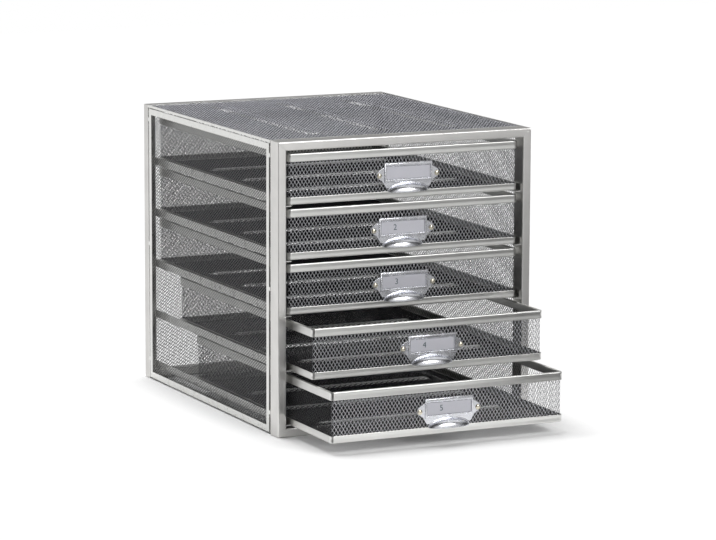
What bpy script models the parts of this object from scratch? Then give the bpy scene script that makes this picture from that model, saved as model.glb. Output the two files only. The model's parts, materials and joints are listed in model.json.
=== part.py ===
"""Desk-top drawer box of brushed steel and expanded-metal mesh, with five sliding drawers.

Metres, +Z up, +X to the right, the drawers open towards -Y.
The origin is on the floor plane, under the middle of the front frame.
Drawers 4 and 5 stand partly pulled out, and the other three are shut.
"""
import math

import bmesh
import bpy
from mathutils import Matrix, Vector

# Cabinet
CABINET_WIDTH = 0.290
CABINET_DEPTH = 0.360
CABINET_HEIGHT = 0.305
SEAT_GAP = 0.0003
CUT_OVERRUN = 0.004

# Front and back frames, of rectangular tube with mitred corners
FRAME_FACE = 0.009
FRONT_FRAME_DEPTH = 0.020
BACK_FRAME_DEPTH = 0.012
FRAME_EDGE_RADIUS = 0.0010
FRAME_EDGE_STEPS = 1
SHARP_ANGLE = math.radians(35)
RIVET_SMOOTH_ANGLE = math.radians(50)

# Side panels: a strip frame with the mesh welded to its inner face
PANEL_STRIP_WIDTH = 0.0065
PANEL_STRIP_THICKNESS = 0.0015
PANEL_END_GAP = 0.003
PANEL_FLOOR_GAP = 0.002
PANEL_TOP_GAP = 0.001
PANEL_MESH_LAP = 0.004
WELD_TAB_LENGTH = 0.004
WELD_TAB_PLACE_SHARES = (0.07, 0.50, 0.96)

# Top panel: a low rim whose ledge carries the mesh, which has three pressed beads
TOP_RIM_HEIGHT = 0.0026
TOP_RIM_WALL = 0.0012
TOP_RIM_LEDGE_WIDTH = 0.005
TOP_RIM_LEDGE_THICKNESS = 0.0008
TOP_MESH_THICKNESS = 0.0007
TOP_BEAD_COUNT = 3
TOP_BEAD_SPACING = 0.079
TOP_BEAD_WIDTH = 0.020
TOP_BEAD_CROWN_WIDTH = 0.014
TOP_BEAD_HEIGHT = 0.0008
TOP_BEAD_END_MARGIN = 0.030

# Expanded-metal mesh, drawn with large openings: each diamond stands for many small ones
MESH_THICKNESS = 0.0010
DIAMOND_LENGTH = 0.062
DIAMOND_WIDTH = 0.048
DIAMOND_LENGTH_PITCH = 0.078
DIAMOND_WIDTH_PITCH = 0.056
DIAMOND_EDGE_MARGIN = 0.006
TOP_DIAMOND_LENGTH = 0.050
TOP_DIAMOND_WIDTH = 0.022
TOP_DIAMOND_LENGTH_PITCH = 0.060
TOP_DIAMOND_WIDTH_PITCH = 0.0262
BACK_MESH_INSET = 0.004
COUNT_SLACK_SHARE = 0.001

# Drawers, counted from the top
DRAWER_COUNT = 5
DRAWER_SIDE_GAP = 0.004
DRAWER_TOP_GAP = 0.0041
DRAWER_BOTTOM_GAP = 0.0032
DRAWER_SPACING = 0.0043
DRAWER_RECESS = 0.005
DRAWER_BACK_GAP = 0.004
DRAWER_CORNER_RADIUS = 0.0045
DRAWER_CORNER_STEPS = 3
PULLED_OUT = (0.0, 0.0, 0.0, 0.0594, 0.1046)

# Drawer rims, of folded strip
RIM_SHEET = 0.0008
RIM_SHOULDER = 0.0007
TOP_RIM_OUTER_LEG = 0.0086
TOP_RIM_INNER_LEG = 0.0080
BOTTOM_RIM_LEG = 0.0077
BOTTOM_RIM_LEDGE = 0.0042

# Drawer mesh: the wall band and the floor
FLOOR_THICKNESS = 0.0008
FLOOR_BEAD_COUNT = 3
FLOOR_BEAD_WIDTH = 0.014
FLOOR_BEAD_CROWN_WIDTH = 0.008
FLOOR_BEAD_HEIGHT = 0.0012
FLOOR_BEAD_END_MARGIN = 0.025
FRONT_DIAMOND_WIDTH = 0.024
FRONT_DIAMOND_PITCH = 0.032
FRONT_DIAMOND_MARGIN = 0.0025
FRONT_HALF_DIAMOND_SHARE = 0.62
WALL_DIAMOND_LENGTH = 0.044
WALL_DIAMOND_HEIGHT = 0.027
WALL_DIAMOND_PITCH = 0.062
FLOOR_DIAMOND_LENGTH = 0.060
FLOOR_DIAMOND_PITCH = 0.082

# Runners: an angle strip on each side of each drawer
RUNNER_SHEET = 0.0010
RUNNER_UPRIGHT = 0.0083
RUNNER_WIDTH = 0.0070
RUNNER_FRONT_SETBACK = 0.0035
RUNNER_BACK_LAP = 0.006

# Label-holder pull: plate with pointed ears, raised label frame and half-moon finger hood
PLATE_THICKNESS = 0.0010
PULL_TOP_GAP = 0.0068
PULL_SIDE_SHIFT = (0.004, -0.002, 0.0, 0.003, 0.0)
LABEL_FRAME_WIDTH = 0.0545
LABEL_FRAME_RISE = 0.0015
LABEL_SIDE_BORDER = 0.00225
LABEL_TOP_BORDER = 0.0040
LABEL_BOTTOM_BORDER = 0.0030
LABEL_FRAME_TO_HOOD = 0.0017
RIVET_SIDE_STEP = 0.00575
RIVET_DROP = 0.0025
EAR_ROOT_DROP = 0.0042
EAR_TIP_REACH = 0.0032
EAR_TIP_HALF_HEIGHT = 0.0028
EAR_NECK_STEP = 0.0019
EAR_NECK_RISE = 0.0008
SKIRT_SIDE_STEP = 0.00225
SKIRT_LIFT = 0.0040
HOOD_SIDE_STEP = 0.00425
HOOD_REACH = 0.0090
HOOD_RISE = 0.0085
HOOD_LIP_HEIGHT = 0.0069
HOOD_WALL = 0.0009
HOOD_AROUND_STEPS = 12
HOOD_ALONG_STEPS = 10

# Label card and rivets
CARD_THICKNESS = 0.0004
RIVET_HEAD_RADIUS = 0.0028
RIVET_HEAD_HEIGHT = 0.0014
RIVET_SHANK_RADIUS = 0.0012
RIVET_TAIL_RADIUS = 0.0020
RIVET_TAIL_THICKNESS = 0.0006
RIVET_STEPS = 8

# Worked-out places
FRONT_Y = -FRONT_FRAME_DEPTH / 2
BACK_Y = FRONT_Y + CABINET_DEPTH
HALF_WIDTH = CABINET_WIDTH / 2
PANEL_FRONT_Y = FRONT_Y + FRONT_FRAME_DEPTH + PANEL_END_GAP
PANEL_BACK_Y = BACK_Y - BACK_FRAME_DEPTH - PANEL_END_GAP
PANEL_TOP_Z = CABINET_HEIGHT - TOP_RIM_HEIGHT - PANEL_TOP_GAP
BACK_MESH_Y = BACK_Y - BACK_MESH_INSET - MESH_THICKNESS
DRAWER_WIDTH = CABINET_WIDTH - 2 * FRAME_FACE - 2 * DRAWER_SIDE_GAP
DRAWER_LENGTH = BACK_MESH_Y - DRAWER_BACK_GAP - FRONT_Y - DRAWER_RECESS
STACK_HEIGHT = CABINET_HEIGHT - 2 * FRAME_FACE - DRAWER_TOP_GAP - DRAWER_BOTTOM_GAP
DRAWER_HEIGHT = (STACK_HEIGHT - (DRAWER_COUNT - 1) * DRAWER_SPACING) / DRAWER_COUNT
WALL_INSET = RIM_SHEET + SEAT_GAP
FLOOR_INSET = WALL_INSET + MESH_THICKNESS + SEAT_GAP
WALL_BOTTOM = RIM_SHEET + SEAT_GAP
WALL_TOP = DRAWER_HEIGHT - RIM_SHEET - SEAT_GAP

# Worked-out places on the pull, first above the drawer's underside, then about the rivet line
LABEL_FRAME_FOOT = HOOD_LIP_HEIGHT + HOOD_RISE + LABEL_FRAME_TO_HOOD
LABEL_FRAME_CREST = DRAWER_HEIGHT - TOP_RIM_OUTER_LEG - PULL_TOP_GAP
WINDOW_FOOT = LABEL_FRAME_FOOT + LABEL_BOTTOM_BORDER
WINDOW_CREST = LABEL_FRAME_CREST - LABEL_TOP_BORDER
RIVET_HEIGHT = (WINDOW_FOOT + WINDOW_CREST) / 2 - RIVET_DROP
LABEL_FRAME_TOP = LABEL_FRAME_CREST - RIVET_HEIGHT
LABEL_FRAME_BOTTOM = LABEL_FRAME_FOOT - RIVET_HEIGHT
LABEL_WINDOW_TOP = WINDOW_CREST - RIVET_HEIGHT
LABEL_WINDOW_BOTTOM = WINDOW_FOOT - RIVET_HEIGHT
LABEL_WINDOW_WIDTH = LABEL_FRAME_WIDTH - 2 * LABEL_SIDE_BORDER
RIVET_SPACING = LABEL_FRAME_WIDTH + 2 * RIVET_SIDE_STEP
SKIRT_HALF_WIDTH = LABEL_FRAME_WIDTH / 2 - SKIRT_SIDE_STEP
HOOD_HALF_WIDTH = LABEL_FRAME_WIDTH / 2 - HOOD_SIDE_STEP
HOOD_LIP_DROP = RIVET_HEIGHT - HOOD_LIP_HEIGHT
SKIRT_DROP = HOOD_LIP_DROP - SKIRT_LIFT
PLATE_BACK_Y = WALL_INSET - SEAT_GAP
PLATE_FRONT_Y = PLATE_BACK_Y - PLATE_THICKNESS

STEEL = ("brushed_steel", (0.62, 0.61, 0.59), 0.32, 1.0)
STRIP_STEEL = ("bright_strip_steel", (0.74, 0.74, 0.73), 0.35, 1.0)
MESH_STEEL = ("mesh_steel", (0.42, 0.42, 0.44), 0.40, 1.0)
PULL_STEEL = ("pull_steel", (0.70, 0.71, 0.75), 0.28, 1.0)
RIVET_BRASS = ("pale_brass", (0.72, 0.66, 0.52), 0.30, 1.0)
CARD_PAPER = ("card_paper", (0.46, 0.46, 0.50), 0.80, 0.0)


def clear_scene():
    for item in list(bpy.data.objects):
        bpy.data.objects.remove(item, do_unlink=True)


def make_collection(name):
    collection = bpy.data.collections.new(name)
    bpy.context.scene.collection.children.link(collection)
    return collection


def material(spec):
    name, colour, roughness, metallic = spec
    found = bpy.data.materials.get(name)
    if found:
        return found
    made = bpy.data.materials.new(name)
    made.use_nodes = True
    made.diffuse_color = (*colour, 1.0)
    shader = made.node_tree.nodes["Principled BSDF"]
    shader.inputs["Base Color"].default_value = (*colour, 1.0)
    shader.inputs["Roughness"].default_value = roughness
    shader.inputs["Metallic"].default_value = metallic
    return made


def add_object(name, mesh, collection, parent=None, location=(0.0, 0.0, 0.0)):
    made = bpy.data.objects.new(name, mesh)
    collection.objects.link(made)
    made.parent = parent
    made.location = location
    return made


def as_cutter(item):
    item.hide_render = True
    item.display_type = "WIRE"
    return item


def finish(item, spec, smooth_angle=None):
    item.data.materials.clear()
    item.data.materials.append(material(spec))
    if smooth_angle is not None:
        item.data.shade_smooth()
        item.data.set_sharp_from_angle(angle=smooth_angle)
    return item


def combine(target, other, operation):
    """Applies one Boolean, so that the result can be cut again."""
    modifier = target.modifiers.new(operation.lower(), "BOOLEAN")
    modifier.object = other
    modifier.operation = operation
    modifier.solver = "EXACT"
    bpy.context.view_layer.update()
    solved = target.evaluated_get(bpy.context.evaluated_depsgraph_get())
    result = bpy.data.meshes.new_from_object(solved)
    target.modifiers.clear()
    target.data = result
    return target


def box(name, low, high, collection):
    """A box between two corners, from the cube primitive."""
    low, high = Vector(low), Vector(high)
    form = bmesh.new()
    bmesh.ops.create_cube(form, size=1.0)
    bmesh.ops.scale(form, vec=high - low, verts=form.verts)
    bmesh.ops.translate(form, vec=(low + high) / 2, verts=form.verts)
    mesh = bpy.data.meshes.new(name)
    form.to_mesh(mesh)
    form.free()
    return add_object(name, mesh, collection)


def bevel_edges(item, width, steps):
    """Rounds the outward edges, and leaves the corners inside a window sharp."""
    form = bmesh.new()
    form.from_mesh(item.data)
    bmesh.ops.dissolve_limit(form, angle_limit=SHARP_ANGLE, verts=form.verts, edges=form.edges)
    weight = form.edges.layers.float.new("bevel_weight_edge")
    for edge in form.edges:
        edge[weight] = float(edge.is_convex and edge.calc_face_angle() > SHARP_ANGLE)
    form.to_mesh(item.data)
    form.free()
    modifier = item.modifiers.new("edges", "BEVEL")
    modifier.width = width
    modifier.segments = steps
    modifier.limit_method = "WEIGHT"
    return item


def flat_shape(name, outlines, thickness, turn, collection):
    """A flat outline with openings, cut from sheet; turn carries its plane to its place."""
    curve = bpy.data.curves.new(name, "CURVE")
    curve.dimensions = "2D"
    curve.fill_mode = "BOTH"
    curve.extrude = thickness / 2
    for outline in outlines:
        spline = curve.splines.new("POLY")
        spline.points.add(len(outline) - 1)
        for point, (across, up) in zip(spline.points, outline):
            point.co = (across, up, 0.0, 1.0)
        spline.use_cyclic_u = True
    sketch = add_object(name + "_outline", curve, collection)
    bpy.context.view_layer.update()
    solved = sketch.evaluated_get(bpy.context.evaluated_depsgraph_get())
    mesh = bpy.data.meshes.new_from_object(solved)
    bpy.data.objects.remove(sketch, do_unlink=True)
    form = bmesh.new()
    form.from_mesh(mesh)
    bmesh.ops.remove_doubles(form, verts=form.verts, dist=SEAT_GAP / 100)
    bmesh.ops.dissolve_degenerate(form, dist=SEAT_GAP / 100, edges=form.edges)
    bmesh.ops.transform(form, matrix=turn, verts=form.verts)
    bmesh.ops.recalc_face_normals(form, faces=form.faces)
    form.to_mesh(mesh)
    form.free()
    return add_object(name, mesh, collection)


def side_plane(x):
    """Outline (y, z) stood up in the plane at x."""
    return Matrix(((0, 0, 1, x), (1, 0, 0, 0), (0, 1, 0, 0), (0, 0, 0, 1)))


def front_plane(y):
    """Outline (x, z) stood up in the plane at y."""
    return Matrix(((1, 0, 0, 0), (0, 0, -1, y), (0, 1, 0, 0), (0, 0, 0, 1)))


def level_plane(z):
    """Outline (x, y) laid in the plane at z."""
    return Matrix.Translation((0, 0, z))


def rectangle(low_a, low_b, high_a, high_b):
    return [(low_a, low_b), (high_a, low_b), (high_a, high_b), (low_a, high_b)]


def diamond(a, b, size_a, size_b):
    return [(a + size_a / 2, b), (a, b + size_b / 2), (a - size_a / 2, b), (a, b - size_b / 2)]


def whole_steps(room, pitch):
    """How many whole pitches fit, with a little slack so that an exact fit counts at any scale."""
    return math.floor(room / pitch + COUNT_SLACK_SHARE)


def staggered_diamonds(low, high, size, pitch):
    """Diamonds in rows set over by half a pitch, centred between two corners."""
    room = [high[k] - low[k] - size[k] for k in (0, 1)]
    reach = [max(0, whole_steps(room[k], pitch[k])) for k in (0, 1)]
    middle = [(low[k] + high[k]) / 2 for k in (0, 1)]
    found = []
    for row in range(2 * reach[1] + 1):
        b = middle[1] + (row - reach[1]) * pitch[1] / 2
        across = reach[0] + 1 if row % 2 == 0 else reach[0]
        for column in range(across):
            a = middle[0] + (column - (across - 1) / 2) * pitch[0]
            found.append(diamond(a, b, *size))
    return found


def sweep_round(name, profile, half_x, low_y, high_y, collection):
    """Carries a profile round a drawer's plan: extruded along each side, spun round each corner.

    The profile lists (inward, height) pairs, measured from the drawer's outer face.
    """
    radius = DRAWER_CORNER_RADIUS
    form = bmesh.new()
    start = [form.verts.new((-half_x + radius, low_y + inward, up)) for inward, up in profile]
    edges = [form.edges.new((start[k], start[k - 1])) for k in range(len(start))]
    side_runs = (
        (Vector((2 * (half_x - radius), 0, 0)), Vector((half_x - radius, low_y + radius, 0))),
        (Vector((0, high_y - low_y - 2 * radius, 0)), Vector((half_x - radius, high_y - radius, 0))),
        (Vector((-2 * (half_x - radius), 0, 0)), Vector((radius - half_x, high_y - radius, 0))),
        (Vector((0, 2 * radius - high_y + low_y, 0)), Vector((radius - half_x, low_y + radius, 0))),
    )
    for run, centre in side_runs:
        made = bmesh.ops.extrude_edge_only(form, edges=edges)["geom"]
        verts = [item for item in made if isinstance(item, bmesh.types.BMVert)]
        edges = [item for item in made if isinstance(item, bmesh.types.BMEdge)]
        bmesh.ops.translate(form, vec=run, verts=verts)
        turned = bmesh.ops.spin(
            form, geom=verts + edges, cent=centre, axis=(0, 0, 1),
            angle=math.pi / 2, steps=DRAWER_CORNER_STEPS,
        )["geom_last"]
        edges = [item for item in turned if isinstance(item, bmesh.types.BMEdge)]
    bmesh.ops.remove_doubles(form, verts=form.verts, dist=SEAT_GAP / 10)
    bmesh.ops.recalc_face_normals(form, faces=form.faces)
    mesh = bpy.data.meshes.new(name)
    form.to_mesh(mesh)
    form.free()
    return add_object(name, mesh, collection)


def bead(name, low, high, crown_low, crown_high, collection):
    """A pressed stiffening bead: a long low rib whose four sides slope."""
    item = box(name, low, high, collection)
    middle = (low[2] + high[2]) / 2
    for vertex in item.data.vertices:
        if vertex.co.z > middle:
            for k in (0, 1):
                centre = (low[k] + high[k]) / 2
                vertex.co[k] = crown_high[k] if vertex.co[k] > centre else crown_low[k]
    return item


def build_square_frame(name, low_y, depth, model, cutters):
    item = box(name, (-HALF_WIDTH, low_y, 0.0), (HALF_WIDTH, low_y + depth, CABINET_HEIGHT), model)
    window = as_cutter(box(
        name + "_window",
        (-HALF_WIDTH + FRAME_FACE, low_y - CUT_OVERRUN, FRAME_FACE),
        (HALF_WIDTH - FRAME_FACE, low_y + depth + CUT_OVERRUN, CABINET_HEIGHT - FRAME_FACE),
        cutters,
    ))
    combine(item, window, "DIFFERENCE")
    bevel_edges(item, FRAME_EDGE_RADIUS, FRAME_EDGE_STEPS)
    return finish(item, STEEL)


def tabbed_edge(y, outward, low_z, high_z):
    """One upright edge of a side strip, with the weld tabs that reach the post."""
    reach = y + outward * (PANEL_END_GAP - SEAT_GAP)
    points = [(y, low_z)]
    for share in WELD_TAB_PLACE_SHARES:
        middle = low_z + share * (high_z - low_z)
        bottom, top = middle - WELD_TAB_LENGTH / 2, middle + WELD_TAB_LENGTH / 2
        points += [(y, bottom), (reach, bottom), (reach, top), (y, top)]
    points.append((y, high_z))
    return points


def build_side_panel(side, model):
    sign = -1.0 if side == "left" else 1.0
    strip = PANEL_STRIP_WIDTH
    outer = tabbed_edge(PANEL_BACK_Y, 1.0, PANEL_FLOOR_GAP, PANEL_TOP_Z)
    outer += list(reversed(tabbed_edge(PANEL_FRONT_Y, -1.0, PANEL_FLOOR_GAP, PANEL_TOP_Z)))
    inner = rectangle(
        PANEL_FRONT_Y + strip, PANEL_FLOOR_GAP + strip, PANEL_BACK_Y - strip, PANEL_TOP_Z - strip
    )
    strip_x = sign * (HALF_WIDTH - PANEL_STRIP_THICKNESS / 2)
    frame = flat_shape(
        side + "_side_frame", [outer, inner], PANEL_STRIP_THICKNESS, side_plane(strip_x), model
    )
    finish(frame, STRIP_STEEL)
    inset = strip - PANEL_MESH_LAP
    low = (PANEL_FRONT_Y + inset, PANEL_FLOOR_GAP + inset)
    high = (PANEL_BACK_Y - inset, PANEL_TOP_Z - inset)
    hole_inset = PANEL_MESH_LAP + DIAMOND_EDGE_MARGIN
    holes = staggered_diamonds(
        (low[0] + hole_inset, low[1] + hole_inset), (high[0] - hole_inset, high[1] - hole_inset),
        (DIAMOND_LENGTH, DIAMOND_WIDTH), (DIAMOND_LENGTH_PITCH, DIAMOND_WIDTH_PITCH),
    )
    mesh_x = sign * (HALF_WIDTH - PANEL_STRIP_THICKNESS - SEAT_GAP - MESH_THICKNESS / 2)
    mesh = flat_shape(
        side + "_side_mesh", [rectangle(*low, *high)] + holes, MESH_THICKNESS, side_plane(mesh_x), model
    )
    finish(mesh, MESH_STEEL)


def build_top_panel(model, cutters):
    low_y = FRONT_Y + FRONT_FRAME_DEPTH + SEAT_GAP
    high_y = BACK_Y - BACK_FRAME_DEPTH - SEAT_GAP
    rim_bottom = CABINET_HEIGHT - TOP_RIM_HEIGHT
    ledge_top = rim_bottom + TOP_RIM_LEDGE_THICKNESS
    rim = box("top_rim", (-HALF_WIDTH, low_y, rim_bottom), (HALF_WIDTH, high_y, CABINET_HEIGHT), model)
    pocket_x, window_x = HALF_WIDTH - TOP_RIM_WALL, HALF_WIDTH - TOP_RIM_LEDGE_WIDTH
    pocket = as_cutter(box(
        "top_rim_pocket",
        (-pocket_x, low_y + TOP_RIM_WALL, ledge_top),
        (pocket_x, high_y - TOP_RIM_WALL, CABINET_HEIGHT + CUT_OVERRUN),
        cutters,
    ))
    window = as_cutter(box(
        "top_rim_window",
        (-window_x, low_y + TOP_RIM_LEDGE_WIDTH, rim_bottom - CUT_OVERRUN),
        (window_x, high_y - TOP_RIM_LEDGE_WIDTH, CABINET_HEIGHT + CUT_OVERRUN),
        cutters,
    ))
    combine(rim, pocket, "DIFFERENCE")
    combine(rim, window, "DIFFERENCE")
    finish(rim, STRIP_STEEL)

    edge_x = pocket_x - SEAT_GAP
    edge_low, edge_high = low_y + TOP_RIM_WALL + SEAT_GAP, high_y - TOP_RIM_WALL - SEAT_GAP
    middle_count = (TOP_BEAD_COUNT - 1) / 2
    centres = [(k - middle_count) * TOP_BEAD_SPACING for k in range(TOP_BEAD_COUNT)]
    bounds = [-edge_x] + [c + s * TOP_BEAD_WIDTH / 2 for c in centres for s in (-1, 1)] + [edge_x]
    holes = []
    for k in range(0, len(bounds), 2):
        holes += staggered_diamonds(
            (bounds[k] + DIAMOND_EDGE_MARGIN / 2, edge_low + TOP_RIM_LEDGE_WIDTH),
            (bounds[k + 1] - DIAMOND_EDGE_MARGIN / 2, edge_high - TOP_RIM_LEDGE_WIDTH),
            (TOP_DIAMOND_WIDTH, TOP_DIAMOND_LENGTH), (TOP_DIAMOND_WIDTH_PITCH, TOP_DIAMOND_LENGTH_PITCH),
        )
    mesh_bottom = ledge_top + SEAT_GAP
    sheet = flat_shape(
        "top_mesh", [rectangle(-edge_x, edge_low, edge_x, edge_high)] + holes,
        TOP_MESH_THICKNESS, level_plane(mesh_bottom + TOP_MESH_THICKNESS / 2), model,
    )
    sheet_top = mesh_bottom + TOP_MESH_THICKNESS
    slope = (TOP_BEAD_WIDTH - TOP_BEAD_CROWN_WIDTH) / 2
    ends = (edge_low + TOP_BEAD_END_MARGIN, edge_high - TOP_BEAD_END_MARGIN)
    for number, centre in enumerate(centres, 1):
        half, crown = TOP_BEAD_WIDTH / 2, TOP_BEAD_CROWN_WIDTH / 2
        rib = as_cutter(bead(
            "top_bead_%d" % number,
            (centre - half, ends[0], sheet_top - TOP_MESH_THICKNESS / 2),
            (centre + half, ends[1], sheet_top + TOP_BEAD_HEIGHT),
            (centre - crown, ends[0] + slope), (centre + crown, ends[1] - slope), cutters,
        ))
        combine(sheet, rib, "UNION")
    finish(sheet, MESH_STEEL)


def build_back_mesh(model):
    half = HALF_WIDTH - FRAME_FACE - SEAT_GAP
    low_z, high_z = FRAME_FACE + SEAT_GAP, CABINET_HEIGHT - FRAME_FACE - SEAT_GAP
    holes = staggered_diamonds(
        (-half + DIAMOND_EDGE_MARGIN, low_z + DIAMOND_EDGE_MARGIN),
        (half - DIAMOND_EDGE_MARGIN, high_z - DIAMOND_EDGE_MARGIN),
        (DIAMOND_LENGTH, DIAMOND_WIDTH), (DIAMOND_LENGTH_PITCH, DIAMOND_WIDTH_PITCH),
    )
    item = flat_shape(
        "back_mesh", [rectangle(-half, low_z, half, high_z)] + holes, MESH_THICKNESS,
        front_plane(BACK_MESH_Y + MESH_THICKNESS / 2), model,
    )
    finish(item, MESH_STEEL)


def drawer_bottom(number):
    """Height of the underside of a drawer, counted from the top."""
    top = CABINET_HEIGHT - FRAME_FACE - DRAWER_TOP_GAP
    return top - DRAWER_HEIGHT - (number - 1) * (DRAWER_HEIGHT + DRAWER_SPACING)


def build_runners(number, model):
    """Angle strips: the upright lies on the posts and the flange carries the drawer's rim."""
    outer = HALF_WIDTH - FRAME_FACE - SEAT_GAP
    flange_top = drawer_bottom(number) - SEAT_GAP
    low_z = flange_top - RUNNER_SHEET
    low_y = FRONT_Y + RUNNER_FRONT_SETBACK
    high_y = BACK_Y - BACK_FRAME_DEPTH + RUNNER_BACK_LAP
    for side, sign in (("left", -1.0), ("right", 1.0)):
        angle = [
            (sign * outer, low_z), (sign * outer, low_z + RUNNER_UPRIGHT),
            (sign * (outer - RUNNER_SHEET), low_z + RUNNER_UPRIGHT),
            (sign * (outer - RUNNER_SHEET), flange_top),
            (sign * (outer - RUNNER_WIDTH), flange_top), (sign * (outer - RUNNER_WIDTH), low_z),
        ]
        item = flat_shape(
            "%s_runner_%d" % (side, number), [angle], high_y - low_y,
            front_plane((low_y + high_y) / 2), model,
        )
        finish(item, STRIP_STEEL)


def top_rim_profile():
    """Folded strip, open below, that grips both faces of the wall band's top edge."""
    groove = 2 * SEAT_GAP + MESH_THICKNESS
    width = 2 * RIM_SHEET + groove
    top = DRAWER_HEIGHT
    outer_foot, inner_foot = top - TOP_RIM_OUTER_LEG, top - TOP_RIM_INNER_LEG
    return [
        (RIM_SHOULDER, top), (0.0, top - RIM_SHOULDER), (0.0, outer_foot),
        (RIM_SHEET, outer_foot), (RIM_SHEET, top - RIM_SHEET),
        (RIM_SHEET + groove, top - RIM_SHEET), (RIM_SHEET + groove, inner_foot),
        (width, inner_foot), (width, top - RIM_SHOULDER), (width - RIM_SHOULDER, top),
    ]


def bottom_rim_profile():
    """Angle strip: the leg hides the wall band's foot and the ledge carries wall and floor."""
    return [
        (0.0, BOTTOM_RIM_LEG), (0.0, RIM_SHOULDER), (RIM_SHOULDER, 0.0), (BOTTOM_RIM_LEDGE, 0.0),
        (BOTTOM_RIM_LEDGE, RIM_SHEET), (RIM_SHEET, RIM_SHEET), (RIM_SHEET, BOTTOM_RIM_LEG),
    ]


def front_lattice():
    """Openings of the drawer front: one row of diamonds with half diamonds between them."""
    low = BOTTOM_RIM_LEG + FRONT_DIAMOND_MARGIN
    high = DRAWER_HEIGHT - TOP_RIM_OUTER_LEG - FRONT_DIAMOND_MARGIN
    middle, height = (low + high) / 2, high - low
    room = DRAWER_WIDTH - 2 * (DRAWER_CORNER_RADIUS + WALL_INSET + MESH_THICKNESS)
    bridge = FRONT_DIAMOND_PITCH - FRONT_DIAMOND_WIDTH
    count = 2 * whole_steps(room + bridge, 2 * FRONT_DIAMOND_PITCH)
    half = FRONT_HALF_DIAMOND_SHARE * FRONT_DIAMOND_WIDTH / 2
    drop = FRONT_HALF_DIAMOND_SHARE * height / 2
    shapes = []
    for k in range(count):
        x = (k - (count - 1) / 2) * FRONT_DIAMOND_PITCH
        shapes.append(diamond(x, middle, FRONT_DIAMOND_WIDTH, height))
        if k < count - 1:
            between = x + FRONT_DIAMOND_PITCH / 2
            shapes.append([(between - half, low), (between + half, low), (between, low + drop)])
            shapes.append([(between - half, high), (between, high - drop), (between + half, high)])
    return shapes


def clear_of_rivets(shapes, shift):
    """Leaves out each opening that a rivet would fall into."""
    rivets = [(shift + s * RIVET_SPACING / 2, RIVET_HEIGHT) for s in (-1, 1)]
    reach = RIVET_TAIL_RADIUS + SEAT_GAP
    kept = []
    for shape in shapes:
        low = [min(point[k] for point in shape) - reach for k in (0, 1)]
        high = [max(point[k] for point in shape) + reach for k in (0, 1)]
        if not any(all(low[k] < rivet[k] < high[k] for k in (0, 1)) for rivet in rivets):
            kept.append(shape)
    return kept


def row_of_diamonds(room, height_middle, length, pitch):
    count = max(1, whole_steps(room - length, pitch) + 1)
    places = [(k - (count - 1) / 2) * pitch for k in range(count)]
    return [diamond(a, height_middle, length, WALL_DIAMOND_HEIGHT) for a in places]


def build_wall_mesh(number, empty, model, cutters):
    """The mesh band that makes the drawer's four walls, with its corners bent round."""
    shift = PULL_SIDE_SHIFT[number - 1]
    profile = [
        (WALL_INSET, WALL_TOP), (WALL_INSET, WALL_BOTTOM),
        (WALL_INSET + MESH_THICKNESS, WALL_BOTTOM), (WALL_INSET + MESH_THICKNESS, WALL_TOP),
    ]
    item = sweep_round(
        "drawer_%d_wall_mesh" % number, profile, DRAWER_WIDTH / 2, 0.0, DRAWER_LENGTH, model
    )
    middle = (BOTTOM_RIM_LEG + DRAWER_HEIGHT - TOP_RIM_OUTER_LEG) / 2
    corner = 2 * (DRAWER_CORNER_RADIUS + WALL_INSET + MESH_THICKNESS)
    deep = 2 * (WALL_INSET + MESH_THICKNESS + CUT_OVERRUN)
    front = flat_shape(
        "drawer_%d_front_openings" % number, clear_of_rivets(front_lattice(), shift), deep,
        front_plane(0.0), cutters,
    )
    back_row, side_row = (
        row_of_diamonds(run - corner, middle, WALL_DIAMOND_LENGTH, WALL_DIAMOND_PITCH)
        for run in (DRAWER_WIDTH, DRAWER_LENGTH)
    )
    back = flat_shape(
        "drawer_%d_back_openings" % number, back_row, deep, front_plane(DRAWER_LENGTH), cutters
    )
    sides = flat_shape(
        "drawer_%d_side_openings" % number, side_row, DRAWER_WIDTH + 2 * CUT_OVERRUN,
        side_plane(0.0) @ Matrix.Translation((DRAWER_LENGTH / 2, 0, 0)), cutters,
    )
    for cutter in (front, back, sides):
        combine(item, as_cutter(cutter), "DIFFERENCE")
    for side in (-1, 1):
        place = (shift + side * RIVET_SPACING / 2, WALL_INSET, RIVET_HEIGHT)
        hole = rivet_hole("drawer_%d_rivet_hole_%d" % (number, side), place, cutters)
        combine(item, hole, "DIFFERENCE")
    item.parent = empty
    finish(item, MESH_STEEL)


def rivet_hole(name, place, collection):
    form = bmesh.new()
    radius = RIVET_SHANK_RADIUS + SEAT_GAP
    bmesh.ops.create_cone(
        form, cap_ends=True, segments=RIVET_STEPS, radius1=radius, radius2=radius,
        depth=2 * (MESH_THICKNESS + CUT_OVERRUN),
    )
    bmesh.ops.rotate(form, verts=form.verts, matrix=Matrix.Rotation(math.pi / 2, 3, "X"))
    bmesh.ops.translate(form, verts=form.verts, vec=place)
    mesh = bpy.data.meshes.new(name)
    form.to_mesh(mesh)
    form.free()
    return as_cutter(add_object(name, mesh, collection))


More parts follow.
